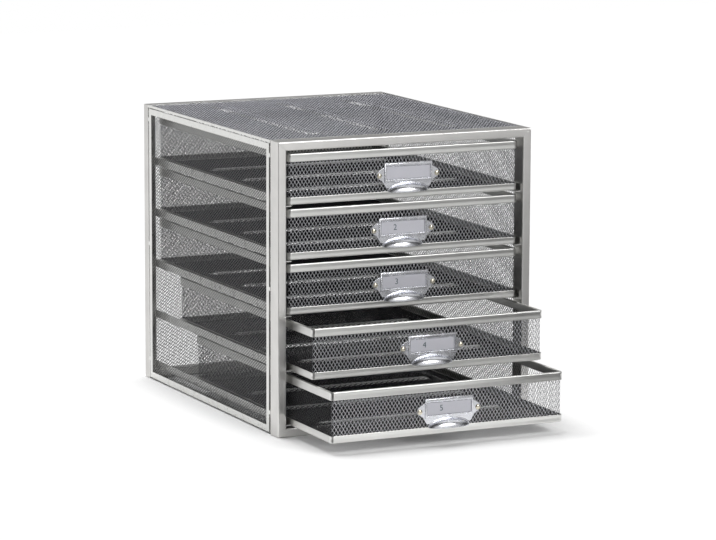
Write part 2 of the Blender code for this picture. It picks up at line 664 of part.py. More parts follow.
def build_floor_mesh(number, empty, model, cutters):
    """The drawer's floor: a mesh sheet on the ledge of the bottom rim, with beads across it."""
    half = DRAWER_WIDTH / 2 - FLOOR_INSET
    low_y, high_y = FLOOR_INSET, DRAWER_LENGTH - FLOOR_INSET
    chamfer = DRAWER_CORNER_RADIUS - FLOOR_INSET
    outline = [
        (-half + chamfer, low_y), (half - chamfer, low_y), (half, low_y + chamfer),
        (half, high_y - chamfer), (half - chamfer, high_y), (-half + chamfer, high_y),
        (-half, high_y - chamfer), (-half, low_y + chamfer),
    ]
    pitch = (high_y - low_y) / (FLOOR_BEAD_COUNT + 1)
    centres = [low_y + (k + 1) * pitch for k in range(FLOOR_BEAD_COUNT)]
    holes = []
    for k in range(FLOOR_BEAD_COUNT + 1):
        bay_middle = low_y + (k + 0.5) * pitch
        holes += row_of_diamonds(2 * half, bay_middle, FLOOR_DIAMOND_LENGTH, FLOOR_DIAMOND_PITCH)
    floor_top = WALL_BOTTOM + FLOOR_THICKNESS
    item = flat_shape(
        "drawer_%d_floor_mesh" % number, [outline] + holes, FLOOR_THICKNESS,
        level_plane(floor_top - FLOOR_THICKNESS / 2), model,
    )
    rib_half = half - FLOOR_BEAD_END_MARGIN
    slope = (FLOOR_BEAD_WIDTH - FLOOR_BEAD_CROWN_WIDTH) / 2
    for order, centre in enumerate(centres, 1):
        wide, crown = FLOOR_BEAD_WIDTH / 2, FLOOR_BEAD_CROWN_WIDTH / 2
        rib = as_cutter(bead(
            "drawer_%d_floor_bead_%d" % (number, order),
            (-rib_half, centre - wide, floor_top - FLOOR_THICKNESS / 2),
            (rib_half, centre + wide, floor_top + FLOOR_BEAD_HEIGHT),
            (-rib_half + slope, centre - crown), (rib_half - slope, centre + crown), cutters,
        ))
        combine(item, rib, "UNION")
    item.parent = empty
    finish(item, MESH_STEEL)


def plate_outline():
    """The pull's plate about its rivet line: pointed ears, and an arch cut away behind the hood."""
    rivet_x = RIVET_SPACING / 2
    top_x = LABEL_FRAME_WIDTH / 2 - SEAT_GAP
    right = [
        (top_x, LABEL_FRAME_TOP - SEAT_GAP), (top_x, LABEL_FRAME_TOP - EAR_ROOT_DROP),
        (rivet_x + EAR_TIP_REACH / 2, EAR_TIP_HALF_HEIGHT + EAR_TIP_REACH / 2),
        (rivet_x + EAR_TIP_REACH, EAR_TIP_HALF_HEIGHT / 2),
        (rivet_x + EAR_TIP_REACH, -EAR_TIP_HALF_HEIGHT / 2),
        (rivet_x + EAR_TIP_REACH / 2, -EAR_TIP_HALF_HEIGHT),
        (LABEL_FRAME_WIDTH / 2 + EAR_NECK_STEP, LABEL_FRAME_BOTTOM + EAR_NECK_RISE),
        (SKIRT_HALF_WIDTH, -SKIRT_DROP),
    ]
    arch_x, arch_z = HOOD_HALF_WIDTH - HOOD_WALL / 2, HOOD_RISE - HOOD_WALL / 2
    first = math.asin((HOOD_LIP_DROP - SKIRT_DROP) / arch_z)
    arch = []
    for k in range(HOOD_ALONG_STEPS + 1):
        angle = first + (math.pi - 2 * first) * k / HOOD_ALONG_STEPS
        arch.append((arch_x * math.cos(angle), arch_z * math.sin(angle) - HOOD_LIP_DROP))
    left = [(-x, z) for x, z in reversed(right)]
    return right + arch + left


def ellipsoid(name, half_x, half_y, half_z, centre, collection):
    """A scaled sphere with its poles to the left and right."""
    form = bmesh.new()
    bmesh.ops.create_uvsphere(
        form, u_segments=HOOD_AROUND_STEPS, v_segments=HOOD_ALONG_STEPS, radius=1.0
    )
    bmesh.ops.rotate(form, verts=form.verts, matrix=Matrix.Rotation(math.pi / 2, 3, "Y"))
    bmesh.ops.scale(form, vec=(half_x, half_y, half_z), verts=form.verts)
    bmesh.ops.translate(form, vec=centre, verts=form.verts)
    mesh = bpy.data.meshes.new(name)
    form.to_mesh(mesh)
    form.free()
    return add_object(name, mesh, collection)


def build_pull_mesh(cutters):
    """The pull about its rivet line: plate, label frame and finger hood pressed as one."""
    plate = flat_shape(
        "pull_plate", [plate_outline()], PLATE_THICKNESS,
        front_plane(PLATE_FRONT_Y + PLATE_THICKNESS / 2), cutters,
    )
    frame_half, window_half = LABEL_FRAME_WIDTH / 2, LABEL_WINDOW_WIDTH / 2
    overlap = PLATE_THICKNESS / 2
    frame = flat_shape(
        "pull_label_frame",
        [rectangle(-frame_half, LABEL_FRAME_BOTTOM, frame_half, LABEL_FRAME_TOP),
         rectangle(-window_half, LABEL_WINDOW_BOTTOM, window_half, LABEL_WINDOW_TOP)],
        LABEL_FRAME_RISE + overlap,
        front_plane(PLATE_FRONT_Y + overlap - (LABEL_FRAME_RISE + overlap) / 2), cutters,
    )
    centre = (0.0, PLATE_FRONT_Y + overlap + SEAT_GAP, -HOOD_LIP_DROP - SEAT_GAP)
    hood = ellipsoid(
        "pull_hood", HOOD_HALF_WIDTH, HOOD_REACH + overlap + SEAT_GAP, HOOD_RISE + SEAT_GAP,
        centre, cutters,
    )
    hollow = ellipsoid(
        "pull_hood_hollow", HOOD_HALF_WIDTH - HOOD_WALL,
        HOOD_REACH + overlap + SEAT_GAP - HOOD_WALL, HOOD_RISE + SEAT_GAP - HOOD_WALL,
        centre, cutters,
    )
    combine(hood, hollow, "DIFFERENCE")
    far_x, far = HOOD_HALF_WIDTH + CUT_OVERRUN, HOOD_REACH + HOOD_RISE + CUT_OVERRUN
    below = box(
        "pull_hood_below", (-far_x, -far, -HOOD_LIP_DROP - far), (far_x, far, -HOOD_LIP_DROP), cutters
    )
    behind = box(
        "pull_hood_behind", (-far_x, PLATE_FRONT_Y + overlap, -far - HOOD_LIP_DROP),
        (far_x, far, far), cutters,
    )
    rim_top = BOTTOM_RIM_LEG + SEAT_GAP - RIVET_HEIGHT
    over_rim = box(
        "pull_hood_over_rim", (-far_x, -SEAT_GAP, rim_top - far), (far_x, far, rim_top), cutters
    )
    for cutter in (below, behind):
        combine(hood, cutter, "DIFFERENCE")
    combine(plate, frame, "UNION")
    combine(plate, hood, "UNION")
    combine(plate, over_rim, "DIFFERENCE")
    for side in (-1, 1):
        place = (side * RIVET_SPACING / 2, PLATE_FRONT_Y, 0.0)
        combine(plate, rivet_hole("pull_rivet_hole_%d" % side, place, cutters), "DIFFERENCE")
    for item in (frame, hood, hollow, below, behind, over_rim):
        as_cutter(item)
    mesh = plate.data
    bpy.data.objects.remove(plate, do_unlink=True)
    return mesh


def build_rivet_mesh(cutters):
    """A domed rivet, turned about its own axis, with its clenched tail behind the mesh."""
    head_seat = PLATE_THICKNESS + SEAT_GAP
    grip = head_seat + SEAT_GAP + MESH_THICKNESS + SEAT_GAP
    profile = [
        (0.0, RIVET_HEAD_HEIGHT),
        (RIVET_HEAD_RADIUS * math.sin(math.pi / 4), RIVET_HEAD_HEIGHT * math.cos(math.pi / 4)),
        (RIVET_HEAD_RADIUS, 0.0), (RIVET_SHANK_RADIUS, 0.0), (RIVET_SHANK_RADIUS, -grip),
        (RIVET_TAIL_RADIUS, -grip), (RIVET_TAIL_RADIUS, -grip - RIVET_TAIL_THICKNESS),
        (0.0, -grip - RIVET_TAIL_THICKNESS),
    ]
    form = bmesh.new()
    verts = [form.verts.new((radius, 0.0, up)) for radius, up in profile]
    for first, second in zip(verts, verts[1:]):
        form.edges.new((first, second))
    mesh = bpy.data.meshes.new("rivet_profile")
    form.to_mesh(mesh)
    form.free()
    item = add_object("rivet_profile", mesh, cutters)
    screw = item.modifiers.new("turn", "SCREW")
    screw.steps = RIVET_STEPS
    screw.render_steps = RIVET_STEPS
    screw.use_merge_vertices = True
    screw.merge_threshold = SEAT_GAP / 10
    bpy.context.view_layer.update()
    turned = bpy.data.meshes.new_from_object(item.evaluated_get(bpy.context.evaluated_depsgraph_get()))
    bpy.data.objects.remove(item, do_unlink=True)
    turned.transform(Matrix.Rotation(math.pi / 2, 4, "X"))
    return turned


def build_drawer(number, pull_mesh, rivet_mesh, model, cutters):
    """One drawer, hung on an empty at the middle of its front edge."""
    front_y = FRONT_Y + DRAWER_RECESS - PULLED_OUT[number - 1]
    empty = add_object("drawer_%d_slide" % number, None, model)
    empty.location = (0.0, front_y, drawer_bottom(number))
    half = DRAWER_WIDTH / 2
    for name, profile in (("top_rim", top_rim_profile()), ("bottom_rim", bottom_rim_profile())):
        rim = sweep_round("drawer_%d_%s" % (number, name), profile, half, 0.0, DRAWER_LENGTH, model)
        rim.parent = empty
        finish(rim, STEEL, smooth_angle=SHARP_ANGLE)
    build_wall_mesh(number, empty, model, cutters)
    build_floor_mesh(number, empty, model, cutters)

    shift = PULL_SIDE_SHIFT[number - 1]
    pull = add_object("drawer_%d_pull" % number, pull_mesh, model, empty, (shift, 0.0, RIVET_HEIGHT))
    finish(pull, PULL_STEEL, smooth_angle=SHARP_ANGLE)
    card_half = LABEL_WINDOW_WIDTH / 2 - SEAT_GAP
    card = box(
        "drawer_%d_card" % number,
        (-card_half, PLATE_FRONT_Y - SEAT_GAP - CARD_THICKNESS, LABEL_WINDOW_BOTTOM + SEAT_GAP),
        (card_half, PLATE_FRONT_Y - SEAT_GAP, LABEL_WINDOW_TOP - SEAT_GAP),
        model,
    )
    card.parent = empty
    card.location = (shift, 0.0, RIVET_HEIGHT)
    finish(card, CARD_PAPER)
    for side, sign in (("left", -1.0), ("right", 1.0)):
        place = (shift + sign * RIVET_SPACING / 2, PLATE_FRONT_Y - SEAT_GAP, RIVET_HEIGHT)
        rivet = add_object("drawer_%d_%s_rivet" % (number, side), rivet_mesh, model, empty, place)
        finish(rivet, RIVET_BRASS, smooth_angle=RIVET_SMOOTH_ANGLE)


def main():
    clear_scene()
    model = make_collection("drawer_storage_box")
    cutters = make_collection("cutters")
    build_square_frame("front_frame", FRONT_Y, FRONT_FRAME_DEPTH, model, cutters)
    build_square_frame("back_frame", BACK_Y - BACK_FRAME_DEPTH, BACK_FRAME_DEPTH, model, cutters)
    build_side_panel("left", model)
    build_side_panel("right", model)
    build_top_panel(model, cutters)
    build_back_mesh(model)
    pull_mesh = build_pull_mesh(cutters)
    rivet_mesh = build_rivet_mesh(cutters)
    for number in range(1, DRAWER_COUNT + 1):
        build_runners(number, model)
        build_drawer(number, pull_mesh, rivet_mesh, model, cutters)


main()
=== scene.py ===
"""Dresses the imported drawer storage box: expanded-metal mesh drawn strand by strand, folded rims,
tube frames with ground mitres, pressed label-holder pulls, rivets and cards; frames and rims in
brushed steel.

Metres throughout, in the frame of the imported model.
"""
import json
import math

import bpy
import numpy as np
from mathutils import Euler, Matrix, Vector

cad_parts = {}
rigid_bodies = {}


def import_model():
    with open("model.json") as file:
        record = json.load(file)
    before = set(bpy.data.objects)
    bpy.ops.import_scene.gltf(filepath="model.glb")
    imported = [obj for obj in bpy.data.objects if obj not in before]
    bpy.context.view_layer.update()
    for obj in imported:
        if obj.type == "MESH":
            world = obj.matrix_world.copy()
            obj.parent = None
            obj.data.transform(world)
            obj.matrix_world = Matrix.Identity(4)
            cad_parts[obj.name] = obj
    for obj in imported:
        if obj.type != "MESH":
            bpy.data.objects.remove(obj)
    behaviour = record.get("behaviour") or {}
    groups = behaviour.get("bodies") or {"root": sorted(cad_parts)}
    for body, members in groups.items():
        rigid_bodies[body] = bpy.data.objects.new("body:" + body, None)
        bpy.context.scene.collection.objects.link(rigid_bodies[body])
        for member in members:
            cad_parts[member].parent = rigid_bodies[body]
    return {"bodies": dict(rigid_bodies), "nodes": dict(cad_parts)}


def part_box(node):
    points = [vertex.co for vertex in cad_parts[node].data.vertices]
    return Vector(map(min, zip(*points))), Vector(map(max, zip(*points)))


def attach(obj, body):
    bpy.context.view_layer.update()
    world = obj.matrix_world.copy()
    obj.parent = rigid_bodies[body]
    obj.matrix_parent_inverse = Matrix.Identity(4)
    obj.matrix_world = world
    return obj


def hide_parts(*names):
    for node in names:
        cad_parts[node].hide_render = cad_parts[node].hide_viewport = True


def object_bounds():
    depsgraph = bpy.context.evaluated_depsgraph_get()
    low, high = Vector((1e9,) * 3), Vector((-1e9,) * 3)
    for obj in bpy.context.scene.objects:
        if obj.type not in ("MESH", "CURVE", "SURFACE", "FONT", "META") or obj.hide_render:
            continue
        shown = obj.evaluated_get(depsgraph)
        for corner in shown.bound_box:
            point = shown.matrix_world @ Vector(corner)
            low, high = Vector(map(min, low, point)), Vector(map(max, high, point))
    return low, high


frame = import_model()
CAD_BOX = [list(corner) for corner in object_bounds()]

bl_info = {
    "name": "Mesh Drawer Box",
    "version": (1, 0, 0),
    "blender": (4, 5, 0),
    "location": "3D View > Sidebar > Drawer Box",
    "description": "Makes the steel, mesh, pulls and cards of a desk-top drawer box",
    "category": "Add Mesh",
}

MM = 0.001
DRAWERS = sorted(name for name in frame["bodies"] if name.startswith("drawer_"))
SIDES = ("left", "right")

# Photograph's camera, fitted to the box's edges
CAMERA_PLACE = (-1.6103, -3.2631, 0.7721)
CAMERA_PITCH = math.radians(9.505)
CAMERA_YAW = math.radians(25.55)
CAMERA_ROLL = math.radians(0.21)
CAMERA_LENS_MM = 179.07
CAMERA_SENSOR_MM = 36.0
CAMERA_FAR = 50.0

# Steps and crease angles of the round pieces
CORNER_STEPS = 8
EDGE_STEPS = 4
FOLD_CREASE = math.radians(50)
SHEET_CREASE = math.radians(40)


def corners(node):
    """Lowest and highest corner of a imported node, as arrays."""
    low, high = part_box(node)
    return np.array(low), np.array(high)


def new_object(name, data):
    """An object in the scene's collection."""
    made = bpy.data.objects.new(name, data)
    bpy.context.scene.collection.objects.link(made)
    return made


def measure(name, description, size_mm, low_mm, high_mm):
    """A length property whose default and limits are given in millimetres."""
    return bpy.props.FloatProperty(
        name=name, description=description, default=size_mm * MM, min=low_mm * MM,
        max=high_mm * MM, subtype="DISTANCE", unit="LENGTH")


def mesh_pitch(name, across_mm, along_mm):
    """A pair of distances between a mesh's openings, given in millimetres."""
    return bpy.props.FloatVectorProperty(
        name=name, description="Distances between openings across and along the diamonds",
        size=2, default=(across_mm * MM, along_mm * MM), min=2.0 * MM, max=30.0 * MM,
        subtype="XYZ", unit="LENGTH")


def finish(name, description, colour):
    """A colour property."""
    return bpy.props.FloatVectorProperty(
        name=name, description=description, default=colour, min=0.0, max=1.0, subtype="COLOR")


class DrawerBoxSizes(bpy.types.PropertyGroup):
    """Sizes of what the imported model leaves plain."""

    drawer_pitch: mesh_pitch("Drawer mesh pitch", 4.0, 6.3)
    side_pitch: mesh_pitch("Side mesh pitch", 3.5, 5.25)
    top_pitch: mesh_pitch("Top mesh pitch", 3.75, 5.8)
    strand_width: measure("Strand width", "Width of one strand of the mesh", 0.60, 0.3, 3.0)
    strand_thickness: measure(
        "Strand thickness", "Thickness of one strand of the mesh", 0.20, 0.1, 2.0)
    strand_lift: measure(
        "Strand lift", "How far a tilted strand's edge stands off the sheet's middle",
        0.42, 0.0, 1.0)
    floor_strand_width: measure(
        "Floor strand width", "Width of each strand of the drawers' floors", 0.90, 0.3, 3.0)
    floor_strand_thickness: measure(
        "Floor strand thickness", "Thickness of each strand of the drawers' floors", 0.60, 0.1, 2.0)
    top_bead_height: measure(
        "Top bead height", "Rise of the beads pressed in the top panel", 1.1, 0.0, 4.0)
    floor_bead_height: measure(
        "Floor bead height", "Rise of the beads pressed in a drawer's floor", 1.6, 0.0, 4.0)
    rim_radius: measure("Rim radius", "Outer bend radius of the folded drawer rims", 1.2, 0.8, 1.6)
    frame_radius: measure("Tube radius", "Edge radius of the frame's tube", 1.2, 0.2, 3.0)
    number_height: measure("Number height", "Height of the numbers on the cards", 6.0, 1.0, 9.0)


class DrawerBoxFinishes(bpy.types.PropertyGroup):
    """Colours of the metals, the card and the ink."""

    frame_colour: finish("Frame", "Brushed tube of the front and back frames", (0.82, 0.81, 0.79))
    strip_colour: finish("Strip", "Rolled strip of the panels and runners", (0.76, 0.76, 0.74))
    rim_colour: finish("Rim", "Folded strip round the drawers", (0.79, 0.79, 0.77))
    # Painted shade: the same steel as the top panel's mesh, drawn darker to stand in for the shade
    # inside the box
    mesh_colour: finish(
        "Panel mesh", "Steel of the side and back panels' mesh", (0.21, 0.21, 0.215))
    # Painted light and shade on one steel: the drawers' side and back walls are drawn dark as
    # painted shade, their fronts bright as painted light
    shaded_mesh_colour: finish(
        "Shaded wall mesh", "Duller steel of the mesh at the drawers' sides and backs",
        (0.10, 0.10, 0.103))
    wall_mesh_colour: finish(
        "Front wall mesh", "Polished steel of the mesh at the drawers' fronts", (0.66, 0.66, 0.69))
    # Painted light: the same steel as the panels' mesh, drawn lighter because the top faces the
    # light
    top_mesh_colour: finish("Top mesh", "Steel of the top panel's mesh", (0.74, 0.74, 0.81))
    # Painted shade and highlight: the floors are drawn nearly black as painted shade, their beads'
    # crowns bright as a painted highlight
    floor_colour: finish(
        "Floor mesh", "Duller, darker steel of the drawers' floors", (0.012, 0.012, 0.014))
    bead_colour: finish("Floor bead", "Rubbed crowns of the floors' beads", (0.72, 0.72, 0.72))
    pull_colour: finish("Pull", "Pressed sheet of the pulls", (0.81, 0.82, 0.86))
    rivet_colour: finish("Rivet", "Pale brass of the rivets", (0.78, 0.73, 0.60))
    card_colour: finish("Card", "Label card", (0.46, 0.46, 0.50))
    ink_colour: finish("Ink", "Numbers on the cards", (0.05, 0.08, 0.09))


def set_inputs(tree, node, inputs):
    """Gives a node's sockets, by name or by place, a value each or a link from another socket."""
    for key, value in inputs.items():
        if isinstance(value, bpy.types.NodeSocket):
            tree.links.new(value, node.inputs[key])
        else:
            node.inputs[key].default_value = value


def add_node(tree, kind, inputs=None, **settings):
    """Adds a shader node with its settings, and sets its inputs."""
    node = tree.nodes.new("ShaderNode" + kind)
    for name, value in settings.items():
        setattr(node, name, value)
    set_inputs(tree, node, inputs or {})
    return node


def calculate(tree, operation, *values):
    """The result of a math node."""
    return add_node(tree, "Math", dict(enumerate(values)), operation=operation).outputs[0]


def once(make):
    """Finds what a maker made before under the name that it is given, or makes it."""
    def find_or_make(name, *values, **named):
        made = bpy.data.materials.get(name) or bpy.data.node_groups.get(name)
        return made or make(name, *values, **named)
    return find_or_make


def start_group(name, inputs, outputs):
    """A node group that takes a vector and numbers, with the sockets at its two ends."""
    group = bpy.data.node_groups.new(name, "ShaderNodeTree")
    new_socket = group.interface.new_socket
    new_socket("Vector", in_out="INPUT", socket_type="NodeSocketVector")
    for label, value in inputs.items():
        new_socket(label, in_out="INPUT", socket_type="NodeSocketFloat").default_value = value
    for label in outputs:
        new_socket(label, in_out="OUTPUT", socket_type="NodeSocketFloat")
    start, end = group.nodes.new("NodeGroupInput"), group.nodes.new("NodeGroupOutput")
    return group, start.outputs, end.inputs


@once
def grain_group(name):
    """Brushed grain: noise drawn out along the strip, as fine lines and as slow streaks."""
    group, given, result = start_group(
        name, {"Lines": 2600.0, "Stretch": 0.02, "Streaks": 90.0}, ("Fine", "Slow"))
    split = add_node(group, "SeparateXYZ", {0: given["Vector"]}).outputs
    along = calculate(group, "MULTIPLY", split["X"], given["Stretch"])
    drawn = add_node(group, "CombineXYZ", {"X": along, "Y": split["Y"], "Z": split["Z"]})
    for label, source in (("Fine", "Lines"), ("Slow", "Streaks")):
        noise = add_node(
            group, "TexNoise", {"Vector": drawn.outputs[0], "Scale": given[source], "Detail": 2.0})
        group.links.new(noise.outputs[0], result[label])
    return group


@once
def tarnish_group(name):
    """Soft blotches of handling and dull metal, from 0 to 1."""
    group, given, result = start_group(name, {"Scale": 20.0}, ("Mask",))
    noise = add_node(group, "TexNoise", {
        "Vector": given["Vector"], "Scale": given["Scale"], "Detail": 4.0, "Roughness": 0.6})
    spread = add_node(
        group, "MapRange", {"Value": noise.outputs[0], "From Min": 0.35, "From Max": 0.68})
    group.links.new(spread.outputs["Result"], result["Mask"])
    return group


def tarnish(tree, scale):
    """The mask of blotches at a scale, in the piece's own coordinates."""
    place = add_node(tree, "TexCoord").outputs["Object"]
    group = tarnish_group("metal_tarnish")
    mask = add_node(tree, "Group", node_tree=group, inputs={"Vector": place, "Scale": scale})
    return mask.outputs["Mask"]


def range_between(tree, source, low, high):
    """Maps a 0 to 1 value to the range from low to high."""
    spread = add_node(tree, "MapRange", {"Value": source, "To Min": low, "To Max": high})
    return spread.outputs["Result"]


def colour_between(tree, source, first, second):
    """The first colour where the source is 0, and the second where it is 1."""
    colours = {"Factor": source, "A": first, "B": second}
    return add_node(tree, "Mix", data_type="RGBA", inputs=colours).outputs["Result"]


def shade_between(tree, source, colour, low, high):
    """A colour darkened to low or brightened to high of itself, as the source goes from 0 to 1."""
    dark, light = ((*[min(1.0, share * c) for c in colour], 1.0) for share in (low, high))
    return colour_between(tree, source, dark, light)


def relief(tree, source, strength, depth):
    bump = add_node(tree, "Bump", {"Height": source, "Strength": strength, "Distance": depth})
    return bump.outputs["Normal"]


def start_material(name, constants):
    """A material, its node tree and its Principled shader with constants on its sockets."""
    made = bpy.data.materials.new(name)
    made.use_nodes = True
    shader = made.node_tree.nodes["Principled BSDF"]
    set_inputs(made.node_tree, shader, constants)
    return made, made.node_tree, shader


@once
def brushed_material(name, colour, roughness, lines, streaks, depth):
    """Steel brushed along the strip: the grain follows the piece's own map."""
    made, tree, shader = start_material(
        name, {"Metallic": 1.0, "Specular Tint": (0.5, 0.5, 0.5, 1.0)})
    flow = add_node(tree, "UVMap", uv_map="grain").outputs["UV"]
    grain = add_node(tree, "Group", node_tree=grain_group("brushed_grain"), inputs={
        "Vector": flow, "Lines": lines, "Streaks": streaks}).outputs
    half = calculate(tree, "MULTIPLY", tarnish(tree, scale=28.0), 0.5)
    both = calculate(tree, "MULTIPLY_ADD", grain["Slow"], 0.5, half)
    set_inputs(tree, shader, {
        "Base Color": shade_between(tree, both, colour, low=0.90, high=1.08),
        "Roughness": range_between(tree, grain["Fine"], roughness - 0.05, roughness + 0.07),
        "Normal": relief(tree, grain["Fine"], strength=0.25, depth=depth),
    })
    return made


@once
def mesh_material(name, colour, grazing):
    """Dull steel of the expanded mesh: each strand a little lighter or darker than the next.

    The grazing share is how much of the metal's edge reflection is left.
    """
    made, tree, shader = start_material(
        name, {"Metallic": 1.0, "Specular Tint": (grazing, grazing, grazing, 1.0)})
    strands, sheet = tarnish(tree, scale=420.0), tarnish(tree, scale=14.0)
    set_inputs(tree, shader, {
        "Base Color": shade_between(tree, strands, colour, low=0.80, high=1.25),
        "Roughness": range_between(tree, sheet, low=0.34, high=0.46),
    })
    return made


def blotched_material(name, colour, constants, scale, shades, roughness, strength, depth):
    """A material whose colour, roughness and relief all follow one mask of blotches."""
    made, tree, shader = start_material(name, constants)
    mask = tarnish(tree, scale)
    set_inputs(tree, shader, {
        "Base Color": shade_between(tree, mask, colour, *shades),
        "Roughness": range_between(tree, mask, *roughness),
        "Normal": relief(tree, mask, strength, depth),
    })
    return made


@once
def sheet_material(name, colour, roughness, ripple):
    """Smooth pressed or turned metal with faint handling marks."""
    return blotched_material(
        name, colour, {"Metallic": 1.0}, scale=120.0, shades=(0.94, 1.05),
        roughness=(roughness - 0.04, roughness + 0.06), strength=0.2, depth=ripple)


@once
def paper_material(name, colour, fibre):
    """Matte card or ink with paper fibre."""
    return blotched_material(
        name, colour, {"Metallic": 0.0, "Specular IOR Level": 0.3}, scale=1500.0,
        shades=(0.96, 1.04), roughness=(0.62, 0.78), strength=0.3, depth=fibre)


def polish_mask(tree):
    """The painted light attribute, which marks where the mesh is drawn bright: fronts and bead
    crowns.
    """
    return add_node(tree, "Attribute", attribute_name="polish").outputs["Fac"]


@once
def wall_mesh_steel(name, finishes):
    """Painted shade on the drawers' sides and backs; painted light where the attribute is high, on
    the fronts.
    """
    made = mesh_material(name, finishes.shaded_mesh_colour, grazing=0.6)
    tree = made.node_tree
    base = tree.nodes["Principled BSDF"].inputs["Base Color"]
    bright = (*finishes.wall_mesh_colour, 1.0)
    tree.links.new(colour_between(tree, polish_mask(tree), base.links[0].from_socket, bright), base)
    return made


@once
def floor_mesh_steel(name, finishes):
    """Dark steel as painted shade; a painted highlight where the attribute is high, on the beads.
    """
    made, tree, shader = start_material(name, {"Specular IOR Level": 0.08})
    polish = polish_mask(tree)
    dark_shade, highlight = (*finishes.floor_colour, 1.0), (*finishes.bead_colour, 1.0)
    set_inputs(tree, shader, {
        "Base Color": colour_between(tree, polish, dark_shade, highlight),
        "Metallic": polish,
        "Roughness": range_between(tree, polish, low=0.75, high=0.35),
    })
    return made


# Its colour carries painted shade
def panel_mesh_steel(finishes):
    return mesh_material("panel_mesh_steel", finishes.mesh_colour, grazing=0.9)


# Its colour carries painted light
def top_mesh_steel(finishes):
    return mesh_material("top_mesh_steel", finishes.top_mesh_colour, grazing=0.9)


def frame_steel(finishes):
    return brushed_material(
        "brushed_tube_steel", finishes.frame_colour, roughness=0.30, lines=2400.0, streaks=70.0,
        depth=0.02 * MM)


def rim_steel(finishes):
    return brushed_material(
        "folded_rim_steel", finishes.rim_colour, roughness=0.30, lines=3000.0, streaks=80.0,
        depth=0.015 * MM)


def pull_steel(finishes):
    return sheet_material(
        "pressed_pull_steel", finishes.pull_colour, roughness=0.24, ripple=0.03 * MM)


def rivet_brass(finishes):
    return sheet_material(
        "pale_rivet_brass", finishes.rivet_colour, roughness=0.26, ripple=0.02 * MM)


def carried_steel(finishes):
    return sheet_material(
        "bright_strip_steel", finishes.strip_colour, roughness=0.30, ripple=0.02 * MM)


def make_mesh(name, points, blocks, maps=None, sharp_angle=None):
    """A mesh from an array of points and blocks of faces; each block holds faces of one size.

    maps, where given, is one map place for each corner of each face, in the order of the blocks.
    The faces are turned about if the closed surface they make has a volume below zero.
    """
    points = np.asarray(points, float).reshape(-1, 3)
    if signed_volume(points, blocks) < 0:
        blocks = [block[:, ::-1] for block in blocks]
        if maps is not None:
            maps = [places[:, ::-1] for places in maps]
    counts = np.concatenate([np.full(len(block), block.shape[1]) for block in blocks])
    corners_of_faces = np.concatenate([block.ravel() for block in blocks])
    mesh = bpy.data.meshes.new(name)
    mesh.vertices.add(len(points))
    mesh.vertices.foreach_set("co", points.ravel())
    mesh.loops.add(len(corners_of_faces))
    mesh.loops.foreach_set("vertex_index", corners_of_faces.astype(np.int32))
    mesh.polygons.add(len(counts))
    starts = np.concatenate([[0], np.cumsum(counts)[:-1]])
    mesh.polygons.foreach_set("loop_start", starts.astype(np.int32))
    mesh.update(calc_edges=True)
    mesh.shade_smooth()
    if sharp_angle is not None:
        mesh.set_sharp_from_angle(angle=sharp_angle)
    if maps is not None:
        layer = mesh.uv_layers.new(name="grain")
        places = np.concatenate([block.reshape(-1, 2) for block in maps])
        layer.data.foreach_set("uv", places.ravel())
    return mesh


def signed_volume(points, blocks):
    """Sum of the tetrahedra from the origin to a fan of triangles over each face."""
    total = 0.0
    for block in blocks:
        first = points[block[:, 0]]
        for k in range(1, block.shape[1] - 1):
            second, third = points[block[:, k]], points[block[:, k + 1]]
            total += np.einsum("ij,ij->", first, np.cross(second, third))
    return total


def join_shells(shells):
    """Puts closed shells, each (points, blocks, maps), one after another."""
    points, blocks, maps, offset = [], [], [], 0
    for shell_points, shell_blocks, shell_maps in shells:
        flat = np.asarray(shell_points, float).reshape(-1, 3)
        flip = signed_volume(flat, shell_blocks) < 0
        for block, places in zip(shell_blocks, shell_maps):
            blocks.append((block[:, ::-1] if flip else block) + offset)
            maps.append(places[:, ::-1] if flip else places)
        points.append(flat)
        offset += len(flat)
    return np.concatenate(points), blocks, maps


def swept_shell(sections, closed_path):
    """A closed profile carried along a path: sections is (stations, profile points, 3).

    Neighbouring sections are joined by quads. An open path gets a flat face at each end. The map
    runs along the path and round the profile, in metres.
    """
    stations, around = sections.shape[:2]
    row, column = np.mgrid[:stations if closed_path else stations - 1, :around]
    rows = np.stack([row, row + 1, row + 1, row], axis=-1)
    columns = np.stack([column, column, column + 1, column + 1], axis=-1)
    quads = rows % stations * around + columns % around
    path, profile = np.concatenate([sections[:, 0], sections[:1, 0]]), sections[0]
    along, across = (
        np.concatenate([[0], np.cumsum(np.linalg.norm(np.diff(line, axis=0), axis=1))])
        for line in (path, np.concatenate([profile, profile[:1]])))
    maps = np.stack([along[rows], across[columns]], axis=-1)
    blocks, places = [quads.reshape(-1, 4)], [maps.reshape(-1, 4, 2)]
    if not closed_path:
        ring, flat = np.arange(around), np.column_stack([np.zeros(around), across[:-1]])
        blocks.append(np.stack([ring[::-1], (stations - 1) * around + ring]))
        places.append(np.stack([flat[::-1], flat]))
    return sections.reshape(-1, 3), blocks, places


def arc(centre, radius, start, end, steps=EDGE_STEPS):
    """Points on a circle from one angle to another, in degrees."""
    angles = np.radians(np.linspace(start, end, steps + 1))
    return np.array(centre) + radius * np.column_stack([np.cos(angles), np.sin(angles)])


def rounded_rectangle(low, high, radius):
    """A rectangle whose corners are quarter circles, counter-clockwise."""
    (a, b), (c, d) = np.add(low, radius), np.subtract(high, radius)
    places = ((c, d), (a, d), (a, b), (c, b))
    return np.concatenate([
        arc(place, radius, 90 * k, 90 * k + 90) for k, place in enumerate(places)])


